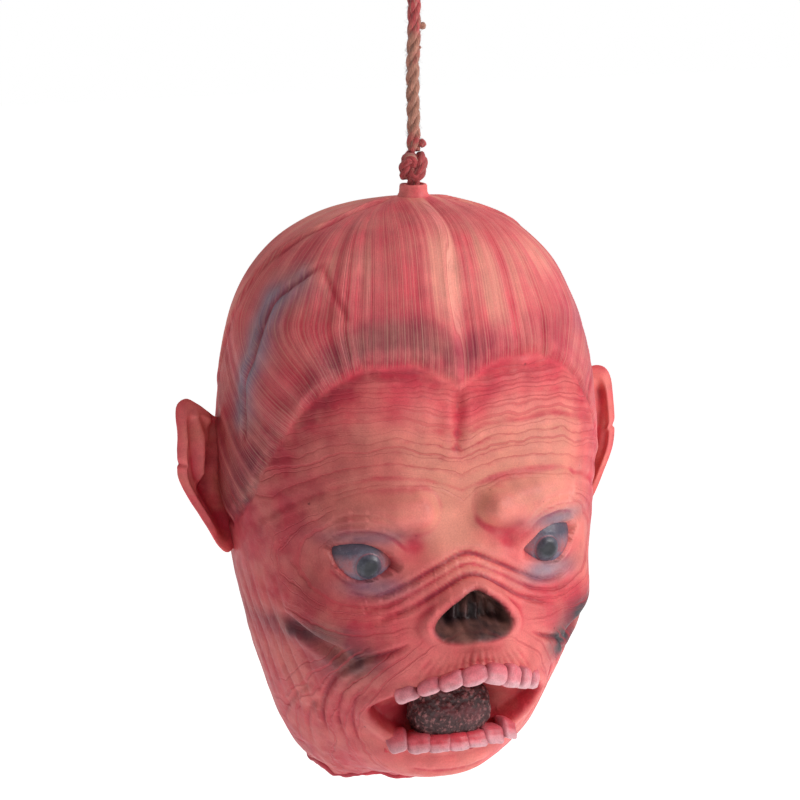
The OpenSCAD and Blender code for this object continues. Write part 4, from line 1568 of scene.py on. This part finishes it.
def build_row(name, end, middle, teeth, ups, thick, seed, edge, node):
    made = []
    for k, (t, width, height, drop, lean) in enumerate(teeth):
        place = arc_point(end, middle, t)
        along = arc_point(end, middle, t + 0.02) - arc_point(end, middle, t - 0.02)
        along /= np.linalg.norm(along)
        out = np.cross(along, [0, 0, 1])
        out /= np.linalg.norm(out)
        up = np.cross(out, along) * -1.0
        if up[2] < 0:
            up = -up
        a = math.radians(lean)
        along, up = along * math.cos(a) + up * math.sin(a), up * math.cos(a) - along * math.sin(a)
        deselect()
        bpy.ops.mesh.primitive_uv_sphere_add(segments=40, ring_count=28, radius=1.0)
        tooth = active_named(f"tooth_{seed}_{k}")
        q = points_of(tooth.data)
        square = 3.0 if ups < 0 else 4.2
        q = q / (np.sum(np.abs(q) ** square, axis=1) ** (1 / square))[:, None]
        tip = smooth_step(-1.0, 1.0, q[:, 2] * ups)
        size = np.array([width / 2, thick / 2, height / 2])
        taper_x = 1 - 0.16 * (1 - tip) - 0.10 * tip**2
        belly = 1 + 0.16 * tip
        p = q * size
        p[:, 0] *= taper_x
        p[:, 1] = p[:, 1] * belly + (0.0 if ups < 0 else 0.6) * p[:, 2]
        p3 = p + 31.0 * k + seed
        p = p + q * (0.34 * noise(p3, 3.4, seed + k) + 0.13 * noise(p3, 1.3, seed + 40 + k))[:, None]
        flutes = np.cos(p[:, 0] * 2 * math.pi / (width * 0.42) + k) * 0.12 * smooth_step(0.2, 0.8, -q[:, 1])
        p[:, 1] += flutes
        where = place + p[:, :1] * along - p[:, 1:2] * out + (p[:, 2:] + drop) * up
        set_points(tooth.data, (where + CROWN) * MM)
        n1 = noise(p3, 4, seed + 7)
        brush = Airbrush(len(p), "tooth")
        brush.spray("tooth_pink", 0.55 + 0.4 * n1)
        pale_end = tip if ups < 0 else 1 - tip
        brush.spray("gum", smooth_step(0.22, 0.02, pale_end) * 0.85)
        brush.spray("gum", (0.0 if ups < 0 else 0.9) * smooth_step(0.62, 0.3, pale_end))
        brush.spray("tooth_pink", smooth_step(0.5, 0.2, pale_end) * (0.8 if ups < 0 else 0.3))
        brush.spray("tooth_edge", smooth_step(0.62, 0.95, pale_end) * edge)
        brush.spray("tooth_shadow", 0.55 * smooth_step(0.55, 0.95, np.abs(q[:, 0])))
        brush.spray("gum", 0.9 * smooth_step(-0.1, 0.5, q[:, 1]))
        brush.shade(1 + 0.07 * noise(p3, 1.5, seed + 8))
        paint_layer(tooth.data, "paint", brush.dry())
        made.append(tooth)
    row = joined(made, name)
    choose(row)
    bpy.ops.object.mode_set(mode="EDIT")
    bpy.ops.mesh.select_all(action="SELECT")
    bpy.ops.mesh.normals_make_consistent(inside=False)
    bpy.ops.object.mode_set(mode="OBJECT")
    finish = bpy.data.materials.get("tooth_latex") or latex_finish(
        "tooth_latex", second=(196, 132, 140), patches=0.45, speckle=0.45, rough=0.4, pits=0.15
    )
    return finished(row, finish, "head", "teeth", node)


def build_gum(name, end, middle, radius, rise, back, seed):
    path = [arc_point(end, middle, t) + np.array([0, back, rise]) for t in np.linspace(-1.04, 1.04, 60)]
    gum = tube_object(name, (np.array(path) + CROWN) * MM, radius * MM, 20)
    q = points_of(gum.data) / MM - CROWN
    n = normals_of(gum.data)
    scallop = 0.5 * np.cos(q[:, 0] * 2 * math.pi / 8.6)
    q = q + n * (scallop + 0.6 * noise(q, 5, seed) + 0.25 * noise(q, 2, seed + 1))[:, None]
    set_points(gum.data, (q + CROWN) * MM)
    brush = Airbrush(len(q), "gum")
    brush.spray("crimson", 0.5 + 0.5 * noise(q, 6, seed + 2))
    brush.spray("deep_red", smooth_step(0.1, 0.7, noise(q, 3, seed + 3)))
    paint_layer(gum.data, "paint", brush.dry())
    finish = bpy.data.materials.get("gum_latex") or latex_finish(
        "gum_latex", second=(214, 90, 92), patches=0.5, rough=0.42, pits=0.1
    )
    return finished(gum, finish, "head", "latex")


def build_teeth():
    upper_low, upper_high = corners("upper_teeth") - CROWN
    lower_low, lower_high = corners("lower_teeth") - CROWN
    upper_end = (0.86 * upper_high[0] - 1.5, upper_high[1] - 3.6, upper_low[2] + 7.6)
    upper_middle = (0, upper_low[1] + 4.8, upper_high[2] - 3.2)
    lower_end = (0.94 * lower_high[0] - 2.0, lower_high[1] - 3.4, lower_high[2] - 2.0)
    lower_middle = (0, lower_low[1] + 4.4, lower_low[2] + 11.5)
    build_row("upper_tooth_row", upper_end, upper_middle, UPPER_TEETH, -1, 7.6, 200, 0.7, "upper_teeth")
    build_row("lower_tooth_row", lower_end, lower_middle, LOWER_TEETH, 1, 7.0, 300, 0.85, "lower_teeth")
    build_gum("upper_gum", upper_end, upper_middle, 2.2, 0.6, 4.6, 400)
    build_gum("lower_gum", lower_end, lower_middle, 5.4, -2.6, 8.0, 410)


def build_tongue():
    low, high = corners("tongue")
    middle, half = (low + high) / 2, (high - low) / 2
    deselect()
    bpy.ops.mesh.primitive_uv_sphere_add(segments=140, ring_count=100, radius=1.0)
    tongue = active_named("sponged_tongue")
    q = points_of(tongue.data)
    q = q / (np.sum(np.abs(q) ** 2.3, axis=1) ** (1 / 2.3))[:, None]
    p = q * half
    groove = np.exp(-((p[:, 0] / 3.0) ** 2)) * smooth_step(0.2, 0.9, -q[:, 1] + 0.4 * q[:, 2])
    form = -1.1 * groove + 0.9 * noise(p, 7, 501) + 0.55 * noise(p, 2.6, 502) + 0.28 * noise(p, 1.2, 503)
    p = p + q * form[:, None]
    set_points(tongue.data, (p + middle) * MM)
    finished(tongue, tongue_finish(), "head", "tongue", "tongue")


# ---------------------------------------------------------------- collar


def build_collar():
    low, high = corners("crown_collar")
    top = high[2] - CROWN[2]
    foot = (high[0] - low[0]) / 2
    bore = COLLAR_BORE / 2
    neck = COLLAR_OUTSIDE / 2
    profile = [
        (bore, -3.4), (foot, -2.6), (foot - 0.4, -1.0), (foot - 2.0, 0.2), (neck + 1.6, 1.1),
        (neck + 0.5, 2.3), (neck + 0.1, 3.6), (neck + 0.15, 5.0), (neck + 0.3, top - 1.1),
        (neck, top - 0.35), (neck - 0.7, top), (bore + 0.7, top), (bore + 0.1, top - 0.6), (bore, top - 1.8),
    ]
    deselect()
    bpy.ops.mesh.primitive_circle_add(
        vertices=64, radius=profile[0][0] * MM, location=(0, 0, (profile[0][1] + CROWN[2]) * MM),
    )
    collar = active_named("cast_collar")
    bpy.ops.object.mode_set(mode="EDIT")
    bpy.ops.mesh.select_all(action="SELECT")
    for (r0, z0), (r1, z1) in zip(profile, profile[1:] + profile[:1]):
        bpy.ops.mesh.extrude_edges_move(TRANSFORM_OT_translate={"value": (0, 0, (z1 - z0) * MM)})
        bpy.ops.transform.resize(value=(r1 / r0, r1 / r0, 1), center_override=(0, 0, (z1 + CROWN[2]) * MM))
    bpy.ops.mesh.select_all(action="SELECT")
    bpy.ops.mesh.remove_doubles(threshold=0.001 * MM)
    bpy.ops.mesh.normals_make_consistent(inside=False)
    bpy.ops.object.mode_set(mode="OBJECT")
    bpy.ops.object.transform_apply(location=True, rotation=True, scale=True)
    subdivided(collar, 2)
    q = points_of(collar.data) / MM - CROWN
    n = normals_of(collar.data)
    q = q + n * (0.22 * noise(q, 3.4, 601) + 0.1 * noise(q, 1.4, 602))[:, None]
    q[:, 2] += 0.35 * smooth_step(3, 7, q[:, 2]) * noise(q, 6, 603)
    set_points(collar.data, (q + CROWN) * MM)
    brush = Airbrush(len(q), "pink_streak")
    brush.spray("pale", 0.5 + 0.5 * noise(q, 4, 604))
    brush.spray("skin", 0.35 + 0.4 * noise(q, 2, 605))
    in_bore = smooth_step(neck - 1.2, bore + 0.2, np.hypot(q[:, 0], q[:, 1]))
    brush.spray("deep_red", in_bore * smooth_step(top + 0.2, top - 1.6, q[:, 2]))
    brush.spray("rose", smooth_step(3, 0.5, q[:, 2]) * 0.6)
    paint_layer(collar.data, "paint", brush.dry())
    finished(
        collar,
        latex_finish("collar_latex", second=(240, 160, 150), patches=0.4, rough=0.55),
        "head",
        "latex",
        "crown_collar",
    )


# ---------------------------------------------------------------- rope and knots


def knot_path(middle, across, tall, turn=0.0, tilt=0.0):
    """An overhand knot drawn tight: a closed three-lobed path."""
    t = np.linspace(0, 2 * math.pi, 90, endpoint=False)
    x = np.sin(t) + 2 * np.sin(2 * t)
    y = np.cos(t) - 2 * np.cos(2 * t)
    p = np.stack([x / 3 * across, y / 3 * across, -np.sin(3 * t) * tall], axis=1)
    c, s = math.cos(turn), math.sin(turn)
    p = p @ np.array([[c, s, 0], [-s, c, 0], [0, 0, 1]])
    c, s = math.cos(tilt), math.sin(tilt)
    p = p @ np.array([[c, 0, s], [0, 1, 0], [-s, 0, c]])
    return p + np.array(middle)


def slub(name, place, size, seed, stain):
    """A small matted lump of loose jute."""
    deselect()
    bpy.ops.mesh.primitive_ico_sphere_add(subdivisions=4, radius=size)
    obj = active_named(name)
    q = points_of(obj.data)
    d = q / size
    lumps = 1 + 0.22 * noise(q + seed, size * 0.9, seed) + 0.12 * noise(q + seed, size * 0.4, seed + 1)
    q = q * lumps[:, None]
    set_points(obj.data, (q + np.array(place)) * MM)
    layer = obj.data.attributes.new(name="yarn", type="FLOAT_VECTOR", domain="POINT")
    layer.data.foreach_set("vector", (d * np.array([1.5, 9, 1.5]) + seed).ravel())
    paint_layer(obj.data, "paint", jute_colour(q + seed, seed, stain))
    return obj


def build_rope():
    settings = bpy.context.scene.jute_rope
    jute = jute_finish("painted_jute")
    pivot = np.array([0, 0, corners("loop_knot")[0][2] + 1.0])
    stop_low, stop_high = corners("stop_knot")
    bottom = stop_high[2]
    route = [[dx, dy, pivot[2] + (bottom - pivot[2]) * k / 6] for k, (dx, dy) in enumerate(ROPE_WAVER)]
    path = evened(curve_through(route[::-1], 8), 1.0)
    knotted_path = np.vstack([path, [[0, 0, pivot[2] + TUCKED_END]]])
    lay = settings.lay_length / MM
    stain = settings.paint_stain
    rope = laid_rope("rope_run", knotted_path, ROPE_D, lay, seed=700, stain=stain)
    finished(rope, jute, "rope", "jute", "rope")
    fluff = fuzz("rope_fuzz", path, ROPE_D / 2, settings.loose_fibres, 711, stain=stain, reach=(0.9, 2.6))
    slubs = [
        slub("slub_a", (4.0, -1.0, bottom + 57), 1.6, 721, -0.9),
        slub("slub_b", (3.9, -1.2, bottom + 3.4), 1.9, 722, -0.3),
        slub("slub_c", (3.3, 0.6, bottom + 47), 0.8, 723, -0.4),
    ]
    fluff = joined([fluff] + slubs, "rope_fuzz")
    finished(fluff, jute, "rope", "jute")

    middle = (stop_low + stop_high) / 2
    half = (stop_high - stop_low) / 2
    thick = ROPE_D * 0.97
    stop_path = knot_path(middle, half[0] - thick / 2, half[2] - thick / 2, turn=0.6)
    soaked = stain + 0.8
    stop = laid_rope(
        "stopper_knot",
        stop_path,
        thick,
        lay * 0.8,
        closed=True,
        stain=soaked,
        seed=730,
        loose=0.06,
    )
    finished(stop, jute, "rope", "jute", "stop_knot")
    short = (0.7, 1.4)
    stop_fluff = fuzz(
        "stopper_knot_fuzz",
        stop_path,
        thick / 2,
        130,
        731,
        closed=True,
        stain=soaked,
        reach=short,
    )
    finished(stop_fluff, jute, "rope", "jute")

    inner_low, inner_high = corners("inner_knot")
    heights = np.linspace(stop_low[2] + 5, inner_high[2] - 5, 12)
    neck_path = [[0.15 * math.sin(k), 0.12 * math.cos(k), z] for k, z in enumerate(heights)]
    neck = laid_rope("rope_neck_run", neck_path, ROPE_D, lay, seed=740, stain=stain + 0.5)
    finished(neck, jute, "rope", "jute", "rope_neck")
    middle = (inner_low + inner_high) / 2
    half = (inner_high - inner_low) / 2
    inner_path = knot_path(middle, half[0] - ROPE_D / 2, half[2] - ROPE_D / 2, turn=0.2)
    inner = laid_rope("inside_knot", inner_path, ROPE_D, lay * 0.8, closed=True, stain=-0.6, seed=750)
    tail_end = middle + np.array([2.5, 1.5, -half[2] + 1.0])
    tail = laid_rope(
        "inside_tail",
        np.linspace(middle, tail_end, 10),
        ROPE_D * 0.8,
        lay,
        stain=-0.6,
        seed=755,
    )
    finished(joined([inner, tail], "inside_knot"), jute, "rope", "jute", "inner_knot")


def build_loop():
    settings = bpy.context.scene.jute_rope
    lay = settings.lay_length / MM
    stain = settings.paint_stain - 0.7
    jute = jute_finish("bare_jute")
    low, high = corners("hanging_loop")
    r = ROPE_D / 2
    ring_r = (high[0] - low[0]) / 2 - r
    top = high[2] - r - ring_r
    bottom = low[2] + r
    corner = LOOP_CORNER
    points = [[ring_r * math.cos(a), 0, top + ring_r * math.sin(a)] for a in np.linspace(0, math.pi, 24)]
    points += [[-ring_r, 0, z] for z in np.linspace(top, bottom + corner, 8)[1:]]
    points += [
        [-ring_r + corner - corner * math.cos(a), 0, bottom + corner - corner * math.sin(a)]
        for a in np.linspace(0, math.pi / 2, 8)[1:]
    ]
    points += [[x, 0, bottom] for x in np.linspace(-ring_r + corner, ring_r - corner, 8)[1:]]
    points += [
        [ring_r - corner + corner * math.sin(a), 0, bottom + corner - corner * math.cos(a)]
        for a in np.linspace(0, math.pi / 2, 8)[1:]
    ]
    points += [[ring_r, 0, z] for z in np.linspace(bottom + corner, top, 8)[1:-1]]
    ring = laid_rope("hanging_ring", points, ROPE_D, lay, closed=True, stain=stain, seed=760)
    finished(ring, jute, "hanging_loop", "jute", "hanging_loop")
    ring_fluff = fuzz("hanging_ring_fuzz", points, r, 240, 761, closed=True, stain=stain)
    finished(ring_fluff, jute, "hanging_loop", "jute")

    low, high = corners("loop_knot")
    thick = 5.6
    wind = (high[0] - low[0]) / 2 - thick / 2
    z0, z1 = low[2] + 5.3, high[2] - thick / 2
    path = []
    for t in np.linspace(0, 1, 120):
        a = 2 * math.pi * 2.35 * t
        tuck = smooth_step(0, 0.09, t) * smooth_step(0, 0.09, 1 - t)
        radius = wind * (0.45 + 0.55 * tuck)
        path.append([radius * math.cos(a), radius * math.sin(a), z0 + (z1 - z0) * smooth_step(0.05, 0.95, t)])
    wrap = laid_rope("loop_wrap", path, thick, lay, stain=stain, seed=770, loose=0.06)
    finished(wrap, jute, "loop_knot", "jute", "loop_knot")
    wrap_fluff = fuzz("loop_wrap_fuzz", path, thick / 2, 120, 771, stain=stain, reach=(0.8, 1.8))
    finished(wrap_fluff, jute, "loop_knot", "jute")


# ---------------------------------------------------------------- stage


def build_stage():
    settings = bpy.context.scene.head_studio
    scene = bpy.context.scene
    right = np.array([math.cos(settings.bearing), math.sin(settings.bearing), 0.0])
    ahead = np.array([math.sin(settings.bearing), -math.cos(settings.bearing), 0.0])
    rise = settings.rise
    back = ahead * math.cos(rise) + np.array([0, 0, math.sin(rise)])
    up = np.cross(back, right)
    aim = CROWN * MM + np.array([0, 0, -0.135]) - 0.0061 * right + 0.0395 * up
    lens = bpy.data.cameras.new("studio_camera")
    lens.lens = 36 * settings.distance / 0.374
    lens.sensor_width = 36
    lens.clip_end = 50
    camera = bpy.data.objects.new("studio_camera", lens)
    scene.collection.objects.link(camera)
    camera.location = Vector(aim + back * settings.distance)
    camera.rotation_euler = Vector(back).to_track_quat("Z", "Y").to_euler()
    scene.camera = camera

    def softbox(name, place, size, power, tint=(1, 1, 1)):
        light = bpy.data.lights.new(name, "AREA")
        light.shape = "DISK"
        light.size = size
        light.energy = power
        light.color = tint
        lamp = bpy.data.objects.new(name, light)
        scene.collection.objects.link(lamp)
        lamp.location = Vector(place)
        lamp.rotation_euler = (Vector(place) - Vector(aim)).to_track_quat("Z", "Y").to_euler()

    world_up = np.array([0, 0, 1.0])
    softbox(
        "key_softbox", aim + 1.5 * (0.90 * right + 0.36 * back + 0.40 * world_up), 0.9, settings.key_power,
    )
    softbox(
        "fill_softbox", aim + 1.7 * (-0.75 * right + 0.6 * back + 0.1 * world_up), 1.2,
        settings.fill_power,
    )
    softbox("top_softbox", aim + 1.3 * (0.1 * right - 0.35 * back + 0.95 * world_up), 0.8, settings.top_power)

    world = bpy.data.worlds.new("studio_white")
    scene.world = world
    world.use_nodes = True
    b = Bench(world.node_tree)
    seen = b.node("ShaderNodeLightPath").outputs["Is Camera Ray"]
    strength = b.remap(seen, 0, 1, settings.surround, 1.0)
    background = world.node_tree.nodes["Background"]
    background.inputs["Color"].default_value = (1, 1, 1, 1)
    world.node_tree.links.new(strength, background.inputs["Strength"])

    deselect()
    floor_z = CAD_BOX[0][2] - 0.45
    bpy.ops.mesh.primitive_plane_add(size=12, location=(0, 0, floor_z))
    floor = active_named("studio_floor")
    bpy.ops.object.transform_apply(location=True, rotation=True, scale=True)
    floor.data.materials.append(floor_finish())
    scene.view_settings.view_transform = "Standard"
    scene.view_settings.look = "None"


# ---------------------------------------------------------------- add-on


class LatexHeadSettings(PropertyGroup):
    """Sizes and depths of the moulded head."""

    wrinkle_depth: FloatProperty(
        name="Wrinkle Depth",
        description="How deep the moulded wrinkles are, as a share of the usual",
        default=1.0,
        min=0.2,
        max=2.0
    )
    strand_depth: FloatProperty(
        name="Hair Depth",
        description="How deep the combed hair strands are, as a share of the usual",
        default=1.0,
        min=0.2,
        max=2.0
    )
    skin_colour: FloatVectorProperty(
        name="Skin Colour", description="Base coat of the latex", default=tuple(
            linear(PAINTS["skin"])
        ),
        subtype="COLOR",
        size=3,
        min=0,
        max=1,
    )


class JuteRopeSettings(PropertyGroup):
    """How the jute rope is made up."""

    lay_length: FloatProperty(
        name="Lay Length",
        description="Length of one full turn of a strand",
        default=0.022,
        min=0.01,
        max=0.06,
        subtype="DISTANCE",
        unit="LENGTH"
    )
    paint_stain: FloatProperty(
        name="Paint Stain",
        description="How much of the rope took up red paint",
        default=0.12,
        min=-1.0,
        max=1.0
    )
    loose_fibres: IntProperty(
        name="Loose Fibres",
        description="Number of fibre ends along the rope",
        default=900,
        min=0,
        max=2000,
    )


class HeadStudioSettings(PropertyGroup):
    """Camera and light of the studio."""

    bearing: FloatProperty(
        name="Camera Bearing", description="How far the camera stands round the head from its face",
        default=math.radians(-22),
        subtype="ANGLE", unit="ROTATION"
    )
    rise: FloatProperty(
        name="Camera Rise",
        description="How far the camera looks down",
        default=math.radians(12),
        subtype="ANGLE",
        unit="ROTATION",
    )
    distance: FloatProperty(
        name="Camera Distance",
        description="From the camera to the head",
        default=1.6,
        min=0.5,
        max=6,
        subtype="DISTANCE",
        unit="LENGTH",
    )
    key_power: FloatProperty(
        name="Key Light",
        description="Power of the softbox on the head's left",
        default=21.0,
        min=0,
        subtype="POWER",
        unit="POWER",
    )
    fill_power: FloatProperty(
        name="Fill Light",
        description="Power of the softbox on the head's right",
        default=1.0,
        min=0,
        subtype="POWER",
        unit="POWER",
    )
    top_power: FloatProperty(
        name="Top Light",
        description="Power of the softbox above the head",
        default=5.0,
        min=0,
        subtype="POWER",
        unit="POWER",
    )
    surround: FloatProperty(
        name="Surround",
        description="Strength of the white surround on the head",
        default=0.30,
        min=0,
        max=2,
    )


class LATEXHEAD_OT_skin(Operator):
    """Sculpt and paint the hollow latex head with its hair, brows, folds, nose and open neck"""

    bl_idname = "latexhead.skin"
    bl_label = "Latex Skin"

    def execute(self, context):
        build_skin()
        return {"FINISHED"}


class LATEXHEAD_OT_eyes(Operator):
    """Make the two moulded eyes"""

    bl_idname = "latexhead.eyes"
    bl_label = "Eyes"

    def execute(self, context):
        build_eyes()
        return {"FINISHED"}


class LATEXHEAD_OT_ears(Operator):
    """Make the two long folded ears"""

    bl_idname = "latexhead.ears"
    bl_label = "Ears"

    def execute(self, context):
        build_ears()
        return {"FINISHED"}


class LATEXHEAD_OT_mouth(Operator):
    """Make both rows of teeth, their gums and the tongue"""

    bl_idname = "latexhead.mouth"
    bl_label = "Teeth, Gums and Tongue"

    def execute(self, context):
        build_teeth()
        build_tongue()
        return {"FINISHED"}


class LATEXHEAD_OT_collar(Operator):
    """Make the collar that the rope passes through"""

    bl_idname = "latexhead.collar"
    bl_label = "Crown Collar"

    def execute(self, context):
        build_collar()
        return {"FINISHED"}


class LATEXHEAD_OT_loop(Operator):
    """Lay up the hanging loop and the knot round it"""

    bl_idname = "latexhead.loop"
    bl_label = "Hanging Loop"

    def execute(self, context):
        build_loop()
        return {"FINISHED"}


class LATEXHEAD_OT_rope(Operator):
    """Lay up the rope with its stopper knot, neck and inside knot"""

    bl_idname = "latexhead.rope"
    bl_label = "Rope and Knots"

    def execute(self, context):
        build_rope()
        return {"FINISHED"}


class LATEXHEAD_OT_studio(Operator):
    """Set the camera, softboxes, white surround and floor"""

    bl_idname = "latexhead.studio"
    bl_label = "Studio"

    def execute(self, context):
        build_stage()
        return {"FINISHED"}


STEPS = [
    LATEXHEAD_OT_studio,
    LATEXHEAD_OT_skin,
    LATEXHEAD_OT_eyes,
    LATEXHEAD_OT_ears,
    LATEXHEAD_OT_mouth,
    LATEXHEAD_OT_collar,
    LATEXHEAD_OT_loop,
    LATEXHEAD_OT_rope,
]


class LATEXHEAD_PT_parts(Panel):
    """Lists the settings and the pieces of the head"""

    bl_idname = "LATEXHEAD_PT_parts"
    bl_label = "Hanging Latex Head"
    bl_space_type = "VIEW_3D"
    bl_region_type = "UI"
    bl_category = "Latex Head"

    def draw(self, context):
        for settings in (context.scene.latex_head, context.scene.jute_rope, context.scene.head_studio):
            for key in settings.__annotations__:
                self.layout.prop(settings, key)
        for step in STEPS:
            self.layout.operator(step.bl_idname)


CLASSES = [LatexHeadSettings, JuteRopeSettings, HeadStudioSettings, *STEPS, LATEXHEAD_PT_parts]


def register():
    for cls in CLASSES:
        bpy.utils.register_class(cls)
    bpy.types.Scene.latex_head = PointerProperty(type=LatexHeadSettings)
    bpy.types.Scene.jute_rope = PointerProperty(type=JuteRopeSettings)
    bpy.types.Scene.head_studio = PointerProperty(type=HeadStudioSettings)


def unregister():
    del bpy.types.Scene.head_studio
    del bpy.types.Scene.jute_rope
    del bpy.types.Scene.latex_head
    for cls in reversed(CLASSES):
        bpy.utils.unregister_class(cls)


def main():
    register()
    bpy.ops.latexhead.studio()
    bpy.ops.latexhead.skin()
    bpy.ops.latexhead.eyes()
    bpy.ops.latexhead.ears()
    bpy.ops.latexhead.mouth()
    bpy.ops.latexhead.collar()
    bpy.ops.latexhead.loop()
    bpy.ops.latexhead.rope()


if __name__ == "__main__":
    main()
